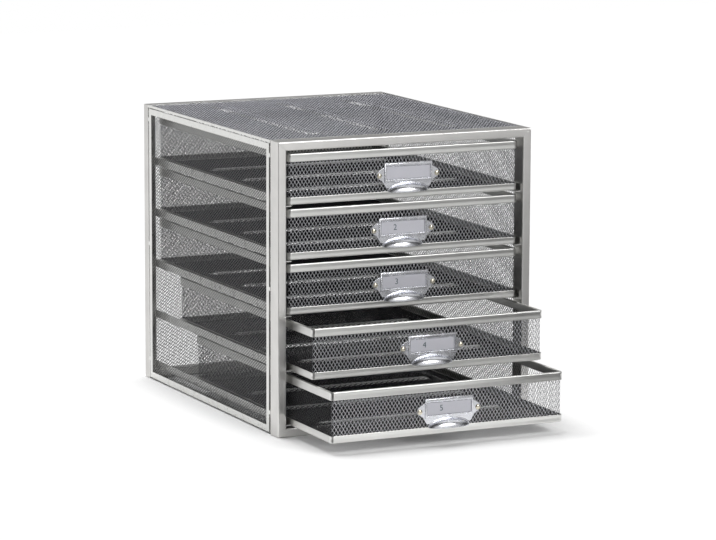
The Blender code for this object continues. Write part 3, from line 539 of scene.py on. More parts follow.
def mitred_sections(low, high, profile, seam_width, seam_depth):
    """Carries a profile (inward, depth) round a rectangle, with a fine groove at each mitre.

    At each corner there are three sections in planes parallel to the mitre: one before it, one
    in it whose profile is drawn in towards its middle by seam_depth, and one after it.
    """
    middle = (profile.min(0) + profile.max(0)) / 2
    half = (profile.max(0) - profile.min(0)) / 2
    drawn_in = middle + (profile - middle) * (1 - seam_depth / half)
    signs = np.array([(-1, -1), (1, -1), (1, 1), (-1, 1)], float)
    centre, reach = (np.array(low) + high) / 2, (np.array(high) - low) / 2
    sections = []
    for k, sign in enumerate(signs):
        before = (sign - signs[k - 1]) / 2
        after = (signs[(k + 1) % 4] - sign) / 2
        for shape, shift in ((profile, -before), (drawn_in, 0 * before), (profile, after)):
            flat = centre + sign * (reach - shape[:, :1]) + shift * seam_width
            sections.append(np.column_stack([flat, shape[:, 1]]))
    return np.array(sections)


def side_lengths(half_x, low_y, high_y, radius):
    """Straight width, straight depth and corner length of a rectangle with round corners."""
    return 2 * (half_x - radius), high_y - low_y - 2 * radius, math.pi / 2 * radius


def plan_path(distance, half_x, low_y, high_y, radius):
    """Place and inward direction at a distance round a rectangle with round corners.

    The path starts at the left end of the front side and runs to the right. Each side is a straight
    stretch and a quarter circle, and the distance says on which of the eight stretches a point is.
    """
    width, deep, quarter = side_lengths(half_x, low_y, high_y, radius)
    stretches = np.array(2 * [width, quarter, deep, quarter])
    starts = np.concatenate([[0], np.cumsum(stretches)])
    distance = np.mod(distance, starts[-1])
    which = np.clip(np.searchsorted(starts, distance, side="right") - 1, 0, 7)
    past = distance - starts[which]
    side = which // 2
    heading = side * math.pi / 2 + np.where(which % 2 == 1, past / radius, 0.0)
    run = np.where(which % 2 == 0, past, stretches[which - which % 2])
    centre_x = np.array([radius - half_x, half_x - radius, half_x - radius, radius - half_x])[side]
    centre_y = np.array([low_y + radius, low_y + radius, high_y - radius, high_y - radius])[side]
    x = centre_x + run * np.cos(side * math.pi / 2) + radius * np.sin(heading)
    y = centre_y + run * np.sin(side * math.pi / 2) - radius * np.cos(heading)
    return x, y, -np.sin(heading), np.cos(heading)


def rim_sections(profile, half_x, low_y, high_y, radius, base):
    """Carries a (inward, height) profile round a drawer's plan."""
    width, deep, quarter = side_lengths(half_x, low_y, high_y, radius)
    stops, at = [], 0.0
    for straight in (width, deep, width, deep):
        stops.append(np.array([at + straight / 2]))
        stops.append(at + straight + np.linspace(0, quarter, CORNER_STEPS + 1))
        at += straight + quarter
    x, y, inward_x, inward_y = plan_path(np.concatenate(stops), half_x, low_y, high_y, radius)
    return np.stack([
        x[:, None] + inward_x[:, None] * profile[None, :, 0],
        y[:, None] + inward_y[:, None] * profile[None, :, 0],
        np.broadcast_to(base + profile[None, :, 1], (len(x), len(profile))),
    ], axis=-1)


def diamond_lattice(across, along, pitch_across, pitch_along, width, thickness, lift, wraps):
    """Expanded mesh laid flat, as points (a, b, c) and faces.

    Openings stand at every second point of a grid of half pitches, and knuckles at the others.
    Each opening has four strand halves: from the ridge over the strand's middle, which is shared
    with the next opening, down to the opening's own edge at mid thickness, above and below. The
    cutting press tilts the strands: an opening's far corner is raised by the lift and its near
    corner lowered. Where no opening lies beyond a strand, a flat face closes it, ridge to ridge.
    """
    half_a, half_b = pitch_across / 2, pitch_along / 2
    columns, rows = 2 * across, 2 * along
    wide = columns if wraps else columns + 1
    i, j = np.meshgrid(np.arange(wide), np.arange(rows + 1), indexing="ij")
    odd = (i + j) % 2 == 1
    inside = (j > 0) & (j < rows) & (wraps | ((i > 0) & (i < columns)))
    opening = ~odd & inside
    knuckle_id = np.full(odd.shape, -1)
    knuckle_id[odd] = np.arange(odd.sum())
    knuckles = np.stack([i[odd] * half_a, j[odd] * half_b], axis=1)
    count = len(knuckles)
    hole_i, hole_j = i[opening], j[opening]
    slant = math.hypot(half_a, half_b)
    shrink = 1 - width / 2 * slant / (half_a * half_b)
    steps = np.array([(1, 0), (0, 1), (-1, 0), (0, -1)])
    edge = np.stack([
        (hole_i[:, None] + shrink * steps[None, :, 0]) * half_a,
        (hole_j[:, None] + shrink * steps[None, :, 1]) * half_b,
    ], axis=-1)
    level = np.tile(lift * steps[:, 0], len(hole_i))
    points = np.concatenate([
        np.column_stack([knuckles, np.full(count, thickness / 2)]),
        np.column_stack([knuckles, np.full(count, -thickness / 2)]),
        np.column_stack([edge.reshape(-1, 2), level]),
    ])
    ring = np.stack([
        knuckle_id[(hole_i + step[0]) % wide if wraps else hole_i + step[0], hole_j + step[1]]
        for step in steps
    ], axis=1)
    own = 2 * count + 4 * np.arange(len(hole_i))[:, None] + np.arange(4)[None, :]
    faces = []
    for k in range(4):
        n = (k + 1) % 4
        near, far = ring[:, k], ring[:, n]
        faces.append(np.stack([near, far, own[:, n], own[:, k]], axis=1))
        faces.append(np.stack([near + count, own[:, k], own[:, n], far + count], axis=1))
        beyond_i, beyond_j = hole_i + steps[k, 0] + steps[n, 0], hole_j + steps[k, 1] + steps[n, 1]
        if wraps:
            beyond_i = beyond_i % wide
        held = (beyond_i >= 0) & (beyond_i < wide) & (beyond_j >= 0) & (beyond_j <= rows)
        met = np.zeros(len(hole_i), bool)
        met[held] = opening[beyond_i[held], beyond_j[held]]
        near, far = near[~met], far[~met]
        faces.append(np.stack([far, near, near + count, far + count], axis=1))
    return points, [np.concatenate(faces)]


def whole_pitches(room, pitch):
    """The whole number of pitches nearest to a room, and the pitch that fills it."""
    count = max(2, round(room / pitch))
    return count, room / count


def flat_mesh(name, node, axes, pitch, strand, height=None):
    """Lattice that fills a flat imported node, lifted by the height where one is given.

    The axes are those of the diamonds' short way, of their long way and across the sheet.
    """
    low, high = corners(node)
    short, long_axis, third = axes
    across, pitch_across = whole_pitches(high[short] - low[short], pitch[0])
    along, pitch_along = whole_pitches(high[long_axis] - low[long_axis], pitch[1])
    flat, faces = diamond_lattice(across, along, pitch_across, pitch_along, *strand, False)
    points = np.empty_like(flat)
    points[:, short] = low[short] + flat[:, 0]
    points[:, long_axis] = low[long_axis] + flat[:, 1]
    points[:, third] = flat[:, 2]
    if height is None:
        points[:, third] += (low[third] + high[third]) / 2
    else:
        points[:, third] += height(points)
    return make_mesh(name, points, faces)


def beads(low, high, run, spacing, half_width, end_margin, base, rise, crown_share=0.35):
    """A sheet's level with three pressed beads along the run axis, one of them in the middle.

    A bead is level on its crown, whose share of the half width is given, and falls in a cosine to
    the sheet at the half width. Its end is round, and stops the margin short of the sheet's end.
    """
    middle = (low + high) / 2
    reach = (high[run] - low[run]) / 2 - end_margin - half_width

    def level(points):
        along, off_middle = points[:, run] - middle[run], points[:, 1 - run] - middle[1 - run]
        off_side = off_middle - spacing * np.clip(np.round(off_middle / spacing), -1, 1)
        distance = np.hypot(off_side, np.maximum(np.abs(along) - reach, 0))
        past = (distance / half_width - crown_share) / (1 - crown_share)
        return base + rise * (0.5 + 0.5 * np.cos(math.pi * np.clip(past, 0, 1)))

    return level


def sizes_and_finishes(context):
    return context.scene.drawer_box_sizes, context.scene.drawer_box_finishes


def add_piece(mesh, body, slot, material, *replaced):
    """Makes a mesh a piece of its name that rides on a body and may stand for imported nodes."""
    piece = new_object(mesh.name, mesh)
    mesh.materials.append(material)
    if mesh.uv_layers:
        even = piece.modifiers.new("even_faces", "WEIGHTED_NORMAL")
        even.keep_sharp = True
    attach(piece, body)
    if replaced:
        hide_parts(*replaced)


class DRAWERBOX_OT_frames(bpy.types.Operator):
    """Makes the front and back frames of square tube, with ground mitres"""

    bl_idname = "drawerbox.frames"
    bl_label = "Frames"

    seam_width = 0.25 * MM
    seam_depth = 0.16 * MM

    def execute(self, context):
        sizes, finishes = sizes_and_finishes(context)
        steel = frame_steel(finishes)
        face = corners("back_mesh")[0][0] - corners("front_frame")[0][0]
        for node in ("front_frame", "back_frame"):
            low, high = corners(node)
            profile = rounded_rectangle((0.0, low[1]), (face, high[1]), sizes.frame_radius)
            flat = mitred_sections(
                (low[0], low[2]), (high[0], high[2]), profile, self.seam_width, self.seam_depth)
            shell = swept_shell(flat[:, :, [0, 2, 1]], True)
            mesh = make_mesh(node + "_tube", *shell, sharp_angle=FOLD_CREASE)
            add_piece(mesh, "cabinet", "frame_steel", steel, node)
        return {"FINISHED"}


class DRAWERBOX_OT_side_panels(bpy.types.Operator):
    """Makes the mesh of the two side panels, behind their packed strip frames"""

    bl_idname = "drawerbox.side_panels"
    bl_label = "Side Panels"

    def execute(self, context):
        sizes, finishes = sizes_and_finishes(context)
        for side, turn in (("left", 1), ("right", -1)):
            node = side + "_side_mesh"
            strand = (sizes.strand_width, sizes.strand_thickness, turn * sizes.strand_lift)
            mesh = flat_mesh(node + "_strands", node, (2, 1, 0), sizes.side_pitch, strand)
            add_piece(mesh, "cabinet", "mesh_steel", panel_mesh_steel(finishes), node)
        return {"FINISHED"}


class DRAWERBOX_OT_top_panel(bpy.types.Operator):
    """Makes the top panel's mesh with its pressed beads"""

    bl_idname = "drawerbox.top_panel"
    bl_label = "Top Panel"

    bead_spacing = 79.0 * MM
    bead_half_width = 10.0 * MM
    bead_end_margin = 28.0 * MM

    def execute(self, context):
        sizes, finishes = sizes_and_finishes(context)
        low, high = corners("top_mesh")
        strand = (sizes.strand_width, sizes.strand_thickness, sizes.strand_lift)
        level = beads(
            low, high, 1, self.bead_spacing, self.bead_half_width, self.bead_end_margin,
            low[2] + sizes.strand_lift, sizes.top_bead_height)
        mesh = flat_mesh(
            "top_mesh_strands", "top_mesh", (0, 1, 2), sizes.top_pitch, strand, level)
        add_piece(mesh, "cabinet", "mesh_steel", top_mesh_steel(finishes), "top_mesh")
        return {"FINISHED"}


class DRAWERBOX_OT_back_panel(bpy.types.Operator):
    """Makes the back's mesh"""

    bl_idname = "drawerbox.back_panel"
    bl_label = "Back Panel"

    def execute(self, context):
        sizes, finishes = sizes_and_finishes(context)
        strand = (sizes.strand_width, sizes.strand_thickness, sizes.strand_lift)
        mesh = flat_mesh("back_mesh_strands", "back_mesh", (2, 0, 1), sizes.drawer_pitch, strand)
        add_piece(mesh, "cabinet", "mesh_steel", panel_mesh_steel(finishes), "back_mesh")
        return {"FINISHED"}


class DRAWERBOX_OT_drawer_mesh(bpy.types.Operator):
    """Makes each drawer's wall band and floor of mesh"""

    bl_idname = "drawerbox.drawer_mesh"
    bl_label = "Drawer Mesh"

    beads_part_floor_in = 4
    bead_half_width = 7.0 * MM
    bead_end_margin = 22.0 * MM
    corner_radius = 2.9 * MM
    half_wall = 0.5 * MM
    rub_steepness = 4.0

    def wall_band(self, drawer, sizes):
        """The lattice bent round the drawer: its first direction runs round the plan."""
        low, high = corners(drawer + "_wall_mesh")
        half_x, low_y = (high[0] - low[0]) / 2 - self.half_wall, low[1] + self.half_wall
        high_y, radius = high[1] - self.half_wall, self.corner_radius
        width, deep, quarter = side_lengths(half_x, low_y, high_y, radius)
        girth = 2 * width + 2 * deep + 4 * quarter
        across, pitch_across = whole_pitches(girth, sizes.drawer_pitch[0])
        along, pitch_along = whole_pitches(high[2] - low[2], sizes.drawer_pitch[1])
        flat, faces = diamond_lattice(
            across, along, pitch_across, pitch_along,
            sizes.strand_width, sizes.strand_thickness, 0.0, True)
        x, y, inward_x, inward_y = plan_path(flat[:, 0], half_x, low_y, high_y, radius)
        depth = flat[:, 2]
        points = np.column_stack([x - inward_x * depth, y - inward_y * depth, low[2] + flat[:, 1]])
        mesh = make_mesh(drawer + "_wall_strands", points, faces)
        # Painted light on the drawer's front: 1 there, 0 on the shaded sides and back
        self.polish(mesh, points[:, 1] < low_y + radius / 2)
        return mesh

    def polish(self, mesh, values):
        """Writes the painted light attribute that the mesh's steel reads."""
        attribute = mesh.attributes.new("polish", "FLOAT", "POINT")
        attribute.data.foreach_set("value", values.astype(float))

    def rub_beads(self, mesh, level, base, rise):
        """Paints highlights on the beads: 1 on a bead's crown, falling off steeply down its sides.
        """
        places = np.empty(len(mesh.vertices) * 3)
        mesh.vertices.foreach_get("co", places)
        share = (level(places.reshape(-1, 3)) - base) / rise
        self.polish(mesh, np.clip(self.rub_steepness * (share - 1) + 1, 0.0, 1.0))

    def execute(self, context):
        sizes, finishes = sizes_and_finishes(context)
        walls = wall_mesh_steel("wall_mesh_steel", finishes)
        floors = floor_mesh_steel("rubbed_mesh_steel", finishes)
        strand = (sizes.floor_strand_width, sizes.floor_strand_thickness, 0.0)
        rise = sizes.floor_bead_height
        for drawer in DRAWERS:
            add_piece(
                self.wall_band(drawer, sizes), drawer, "mesh_steel", walls, drawer + "_wall_mesh")
            node = drawer + "_floor_mesh"
            low, high = corners(node)
            base = (low[2] + high[2] - rise) / 2
            spacing = (high[1] - low[1]) / self.beads_part_floor_in
            level = beads(
                low, high, 0, spacing, self.bead_half_width, self.bead_end_margin, base, rise)
            mesh = flat_mesh(
                drawer + "_floor_strands", node, (1, 0, 2), sizes.drawer_pitch, strand, level)
            self.rub_beads(mesh, level, base, rise)
            add_piece(mesh, drawer, "mesh_steel", floors, node)
        return {"FINISHED"}


class DRAWERBOX_OT_drawer_rims(bpy.types.Operator):
    """Makes each drawer's folded top rim and its angle-strip bottom rim"""

    bl_idname = "drawerbox.drawer_rims"
    bl_label = "Drawer Rims"

    sheet = 0.8 * MM
    grip = 1.6 * MM
    corner_radius = 4.5 * MM
    hollow = 0.22 * MM
    ledge = 4.2 * MM
    inner_leg_step = 0.6 * MM

    def face(self, low, high, steps=6):
        """A leg's outer face, rolled slightly hollow: the depth follows a squared sine."""
        share = np.linspace(0, 1, steps + 1)[1:-1]
        depth = self.hollow * np.sin(math.pi * share) ** 2
        return np.column_stack([depth, low + share * (high - low)])

    def top_profile(self, height, bend):
        """Inverted U: outer leg, web with two bends, inner leg; each leg ends in a rolled edge."""
        sheet, roll = self.sheet, self.sheet / 2
        width = 2 * sheet + self.grip
        inner_foot = self.inner_leg_step
        return np.concatenate([
            arc((roll, roll), roll, 360, 180),
            self.face(roll, height - bend),
            arc((bend, height - bend), bend, 180, 90),
            arc((width - bend, height - bend), bend, 90, 0),
            arc((width - roll, inner_foot + roll), roll, 360, 180),
            arc((width - bend, height - bend), bend - sheet, 0, 90),
            arc((bend, height - bend), bend - sheet, 90, 180),
        ])

    def bottom_profile(self, height, bend):
        """Angle: upright leg with a rolled upper edge, bend, and ledge with a rolled inner edge."""
        sheet, roll = self.sheet, self.sheet / 2
        return np.concatenate([
            arc((roll, height - roll), roll, 0, 180),
            self.face(height - roll, bend),
            arc((bend, bend), bend, 180, 270),
            arc((self.ledge - roll, roll), roll, 270, 450),
            arc((bend, bend), bend - sheet, 270, 180),
        ])

    def execute(self, context):
        sizes, finishes = sizes_and_finishes(context)
        material = rim_steel(finishes)
        profiles = {"_top_rim": self.top_profile, "_bottom_rim": self.bottom_profile}
        for drawer in DRAWERS:
            for part, make_profile in profiles.items():
                node = drawer + part
                low, high = corners(node)
                profile = make_profile(high[2] - low[2], sizes.rim_radius)
                sections = rim_sections(
                    profile, (high[0] - low[0]) / 2, low[1], high[1], self.corner_radius, low[2])
                shell = swept_shell(sections, True)
                mesh = make_mesh(node + "_fold", *shell, sharp_angle=FOLD_CREASE)
                add_piece(mesh, drawer, "rim_steel", material, node)
        return {"FINISHED"}


def fillet_outline(points, radius, steps=4, side_parts=2.2):
    """Rounds each corner of a closed outline with a short quadratic curve.

    The curve leaves each side at the radius, or at one part of the side where that is shorter.
    """
    points = np.asarray(points, float)
    before, after = np.roll(points, 1, axis=0), np.roll(points, -1, axis=0)
    back, forth = before - points, after - points
    length_back = np.linalg.norm(back, axis=1, keepdims=True)
    length_forth = np.linalg.norm(forth, axis=1, keepdims=True)
    start = points + back / length_back * np.minimum(radius, length_back / side_parts)
    end = points + forth / length_forth * np.minimum(radius, length_forth / side_parts)
    share = np.linspace(0, 1, steps + 1)[None, :, None]
    curve = (1 - share) ** 2 * start[:, None] + 2 * share * (1 - share) * points[:, None]
    return (curve + share ** 2 * end[:, None]).reshape(-1, 2)


def drawn_in(outline, amount):
    """Moves each point of a counter-clockwise outline inwards, square to its neighbours' chord."""
    chord = np.roll(outline, -1, axis=0) - np.roll(outline, 1, axis=0)
    chord /= np.maximum(np.linalg.norm(chord, axis=1, keepdims=True), 1e-12)
    return outline + amount * np.column_stack([-chord[:, 1], chord[:, 0]])


def plate_shell(outline, back, front, edge):
    """A flat plate with round front edges: rings of the outline, stepped in by a quarter circle."""
    angles = np.linspace(0, math.pi / 2, EDGE_STEPS + 1)
    rings = [np.column_stack([outline[:, 0], np.full(len(outline), back), outline[:, 1]])]
    for angle in angles:
        flat = drawn_in(outline, edge * (1 - math.cos(angle)))
        depth = front + edge * (1 - math.sin(angle))
        rings.append(np.column_stack([flat[:, 0], np.full(len(flat), depth), flat[:, 1]]))
    return swept_shell(np.array(rings), False)


class DRAWERBOX_OT_pulls(bpy.types.Operator):
    """Makes each pull: plate with pointed ears, raised label frame and half-moon hood"""

    bl_idname = "drawerbox.pulls"
    bl_label = "Pulls"

    sheet = 0.9 * MM
    ear_reach = 3.2 * MM
    ear_half_height = 2.8 * MM
    ear_root = 8.8 * MM
    frame_half = 27.25 * MM
    frame_top = 13.0 * MM
    frame_bottom = -7.0 * MM
    window_half = 25.0 * MM
    window_top = 9.0 * MM
    window_bottom = -4.0 * MM
    frame_rise = 1.6 * MM
    skirt_half = 25.0 * MM
    skirt_drop = -13.2 * MM
    neck = (29.15 * MM, -6.2 * MM)
    hood_half = 23.0 * MM
    hood_reach = 9.0 * MM
    hood_rise = 8.5 * MM
    ridge_radius = 0.9 * MM
    ridge_offset_share = 0.6
    ridge_depth_share = 0.9
    ridge_swell_power = 0.35
    ridge_around = 12
    hood_along = 40
    hood_across = 14
    hood_pole_gap = 0.03
    ridge_pole_gap = 0.10
    lip_roll_share = 0.35
    plate_inset = 0.3 * MM
    plate_fillet = 1.2 * MM
    plate_edge = 0.35 * MM
    plate_thickness = 1.0 * MM
    frame_seat = 0.5 * MM
    ridge_seat = 0.2 * MM
    frame_rise_share = 0.22
    frame_drop_share = 0.20
    arch_points = 15
    filleted_foot_points = 5

    def plate(self, rivet_x, lip, back, front):
        """Outline of the ears and skirt, with an arch cut out that follows the hood."""
        shoulder = self.frame_half - self.plate_inset
        tip, ear = rivet_x + self.ear_reach, rivet_x + self.ear_reach / 2
        foot = (self.skirt_half, self.skirt_drop)
        right = [
            (shoulder, self.frame_top - self.plate_inset), (shoulder, self.ear_root),
            (ear, self.ear_half_height + self.ear_reach / 2), (tip, self.ear_half_height / 2),
            (tip, -self.ear_half_height / 2), (ear, -self.ear_half_height), self.neck, foot,
        ]
        left = [(-x, z) for x, z in reversed(right)]
        half, rise = self.hood_half - self.sheet / 2, self.hood_rise - self.sheet / 2
        first = math.asin((self.skirt_drop - lip) / rise)
        angles = np.linspace(math.pi - first, first, self.arch_points)
        arch = np.column_stack([half * np.cos(angles), lip + rise * np.sin(angles)])
        cut = self.filleted_foot_points
        ears = fillet_outline(right[::-1] + left[::-1], self.plate_fillet)[cut:-cut]
        outline = np.concatenate([[foot], ears, [left[0]], arch])
        return plate_shell(outline, back, front, self.plate_edge)

    def label_frame(self, back, front):
        """A raised border round the card: its section rises, rolls over and drops to the card."""
        outer, inner = (
            np.array([(-half, bottom), (half, bottom), (half, top), (-half, top)])
            for half, bottom, top in (
                (self.frame_half, self.frame_bottom, self.frame_top),
                (self.window_half, self.window_bottom, self.window_top)))
        up, down, rise = self.frame_rise_share, self.frame_drop_share, self.frame_rise
        section = np.concatenate([
            [(0.0, back)],
            arc((up, 0.0), up, 180, 90) * (1, -rise / up) + (0, front),
            arc((1 - down, 0.0), down, 90, 0) * (1, -rise / down) + (0, front),
            [(1.0, back)],
        ])
        share, depth = section[:, 0], np.maximum(section[:, 1], front - rise)
        flat = outer[:, None] * (1 - share)[None, :, None] + inner[:, None] * share[None, :, None]
        depth = np.broadcast_to(depth, flat.shape[:2])
        return swept_shell(np.stack([flat[..., 0], depth, flat[..., 1]], axis=-1), True)

    def hood(self, lip, plane):
        """Quarter of an ellipsoid with its poles at the two sides, as a shell with a rolled lip.

        At an angle t from pole to pole and s from the plate to the lip, a point is at
        x = half cos t, y = -reach sin t sin s, z = rise sin t cos s, above the lip.
        """
        wall = self.sheet
        gap = self.hood_pole_gap
        turn = np.linspace(gap, math.pi - gap, self.hood_along)[:, None]
        down = np.linspace(0, math.pi / 2, self.hood_across)[None, :]

        def skin(shrink, angles):
            x = (self.hood_half - shrink) * np.cos(turn) * np.ones_like(angles)
            y = plane - (self.hood_reach - shrink) * np.sin(turn) * np.sin(angles)
            z = lip + (self.hood_rise - shrink) * np.sin(turn) * np.cos(angles)
            return np.stack([x, y, z], axis=-1)

        outer, inner = skin(0.0, down), skin(wall, down[:, ::-1])
        lip_row = (outer[:, -1:] + inner[:, :1]) / 2
        lip_row[..., 2] -= self.lip_roll_share * wall
        return swept_shell(np.concatenate([outer, lip_row, inner], axis=1), False)

    def ridge(self, lip, plane):
        """A round bead pressed along the arch where the hood leaves the plate."""
        turn = np.linspace(self.ridge_pole_gap, math.pi - self.ridge_pole_gap, self.hood_along)
        offset = self.ridge_offset_share * self.ridge_radius
        half, rise = self.hood_half + offset, self.hood_rise + offset
        centre = np.column_stack([half * np.cos(turn), lip + rise * np.sin(turn)])
        outward = np.column_stack([np.cos(turn) / half, np.sin(turn) / rise])
        outward /= np.linalg.norm(outward, axis=1, keepdims=True)
        swell = self.ridge_radius * np.sin(turn)[:, None] ** self.ridge_swell_power
        angles = np.linspace(0, 2 * math.pi, self.ridge_around + 1)[None, :-1]
        out, forth = swell * np.cos(angles), self.ridge_depth_share * swell * np.sin(angles)
        x, z = centre[:, :1] + outward[:, :1] * out, centre[:, 1:] + outward[:, 1:] * out
        return swept_shell(np.stack([x, plane - forth, z], axis=-1), False)

    def execute(self, context):
        material = pull_steel(context.scene.drawer_box_finishes)
        for drawer in DRAWERS:
            low, high = corners(drawer + "_pull")
            left, right = (sum(corners("%s_%s_rivet" % (drawer, side))) / 2 for side in SIDES)
            middle, rivet_x = (left + right) / 2, (right[0] - left[0]) / 2
            front, lip = high[1] - self.plate_thickness, low[2] - middle[2]
            plate = self.plate(rivet_x, lip, high[1], front)
            label = self.label_frame(front + self.frame_seat, front)
            hood = self.hood(lip, front + self.frame_seat)
            ridge = self.ridge(lip, front + self.ridge_seat)
            parts = {"plate": [plate, ridge], "label_frame": [label], "hood": [hood]}
            for part, shells in parts.items():
                points, blocks, maps = join_shells(shells)
                points += (middle[0], 0.0, middle[2])
                name = "%s_pull_%s" % (drawer, part)
                mesh = make_mesh(name, points, blocks, maps, SHEET_CREASE)
                add_piece(mesh, drawer, "pull_steel", material, drawer + "_pull")
        return {"FINISHED"}


def turned_shell(profile, around):
    """A profile (radius, height) turned about the Y axis, its two ends closed by small flats."""
    angles = np.linspace(0, 2 * math.pi, around + 1)[:-1]
    radius, height = profile[:, 0][:, None], profile[:, 1][:, None]
    sections = np.stack([
        radius * np.cos(angles)[None, :], np.broadcast_to(height, (len(profile), around)),
        radius * np.sin(angles)[None, :],
    ], axis=-1)
    return swept_shell(sections, False)


class DRAWERBOX_OT_rivets(bpy.types.Operator):
    """Makes the domed rivets that hold the pulls"""

    bl_idname = "drawerbox.rivets"
    bl_label = "Rivets"

    head_height = 1.5 * MM
    shank_radius = 1.2 * MM
    tail_radius = 2.0 * MM
    tail_thickness = 0.6 * MM
    tip = 0.05 * MM
    skirt_share = 0.97
    skirt_height = 0.12 * MM
    dome_steps = 8
    around = 24

    def execute(self, context):
        material = rivet_brass(context.scene.drawer_box_finishes)
        for drawer in DRAWERS:
            for side in SIDES:
                node = "%s_%s_rivet" % (drawer, side)
                low, high = corners(node)
                radius = (high[0] - low[0]) / 2
                seat = low[1] + self.head_height
                tail = high[1] - self.tail_thickness
                under = seat + self.skirt_height
                turn = np.linspace(0, 1, self.dome_steps + 1) * math.pi / 2
                dome = np.column_stack([
                    np.maximum(radius * np.sin(turn), self.tip),
                    seat - self.head_height * np.cos(turn),
                ])
                stem = np.array([
                    (radius * self.skirt_share, under), (self.shank_radius, under),
                    (self.shank_radius, tail), (self.tail_radius, tail),
                    (self.tail_radius, high[1]), (self.tip, high[1]),
                ])
                points, blocks, maps = turned_shell(np.concatenate([dome, stem]), self.around)
                points += ((low[0] + high[0]) / 2, 0.0, (low[2] + high[2]) / 2)
                mesh = make_mesh(node + "_turned", points, blocks, maps, SHEET_CREASE)
                add_piece(mesh, drawer, "pale_brass", material, node)
        return {"FINISHED"}


class DRAWERBOX_OT_cards(bpy.types.Operator):
    """Makes the label cards, and writes a plain number on all but the first"""

    bl_idname = "drawerbox.cards"
    bl_label = "Cards"

    number_place_share = 0.32
    digit_height_share = 0.7
    ink_depth = 0.06 * MM
    card_radius = 0.6 * MM
    card_edge = 0.1 * MM

    def execute(self, context):
        sizes, finishes = sizes_and_finishes(context)
        paper = paper_material("lilac_card", finishes.card_colour, fibre=0.02 * MM)
        ink = paper_material("card_ink", finishes.ink_colour, fibre=0.01 * MM)
        for order, drawer in enumerate(DRAWERS, 1):
            node = drawer + "_card"
            low, high = corners(node)
            outline = rounded_rectangle((low[0], low[2]), (high[0], high[2]), self.card_radius)
            shell = plate_shell(outline, high[1], low[1], self.card_edge)
            mesh = make_mesh(node + "_sheet", *shell, SHEET_CREASE)
            add_piece(mesh, drawer, "card_paper", paper, node)
            if order > 1:
                self.write_number(str(order), drawer, low, high, sizes.number_height, ink)
        return {"FINISHED"}

    def write_number(self, text, drawer, low, high, height, ink):
        """A drawn number stood on the card's face."""
        name = drawer + "_card_number"
        curve = bpy.data.curves.new(name, "FONT")
        curve.body = text
        curve.size = height / self.digit_height_share
        curve.extrude = self.ink_depth / 2
        curve.align_x, curve.align_y = "CENTER", "CENTER"
        sketch = new_object(name + "_sketch", curve)
        bpy.context.view_layer.update()
        solved = sketch.evaluated_get(bpy.context.evaluated_depsgraph_get())
        mesh = bpy.data.meshes.new_from_object(solved)
        bpy.data.objects.remove(sketch, do_unlink=True)
        x = low[0] + self.number_place_share * (high[0] - low[0])
        z = (low[2] + high[2]) / 2
        mesh.transform(Matrix.Translation((x, low[1], z)) @ Matrix.Rotation(math.pi / 2, 4, "X"))
        mesh.materials.clear()
        mesh.name = name
        add_piece(mesh, drawer, "card_paper", ink)


class DRAWERBOX_OT_carried(bpy.types.Operator):
    """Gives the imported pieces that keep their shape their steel"""

    bl_idname = "drawerbox.carried"
    bl_label = "Carried Pieces"

    def execute(self, context):
        steel = carried_steel(context.scene.drawer_box_finishes)
        names = [side + "_side_frame" for side in SIDES] + ["top_rim"]
        names += [name for name in frame["nodes"] if "_runner_" in name]
        for name in names:
            piece = frame["nodes"][name]
            piece.data.materials.clear()
            piece.data.materials.append(steel)
        return {"FINISHED"}


ZERO = (0.0, 0.0, 0.0)


def vector_math(tree, operation, first, second):
    return add_node(tree, "VectorMath", {0: first, 1: second}, operation=operation).outputs


def any_ray(tree, *kinds):
    """1 for a ray of any of the kinds, otherwise 0."""
    rays = add_node(tree, "LightPath").outputs
    found = rays[kinds[0]]
    for kind in kinds[1:]:
        found = calculate(tree, "MAXIMUM", found, rays[kind])
    return found


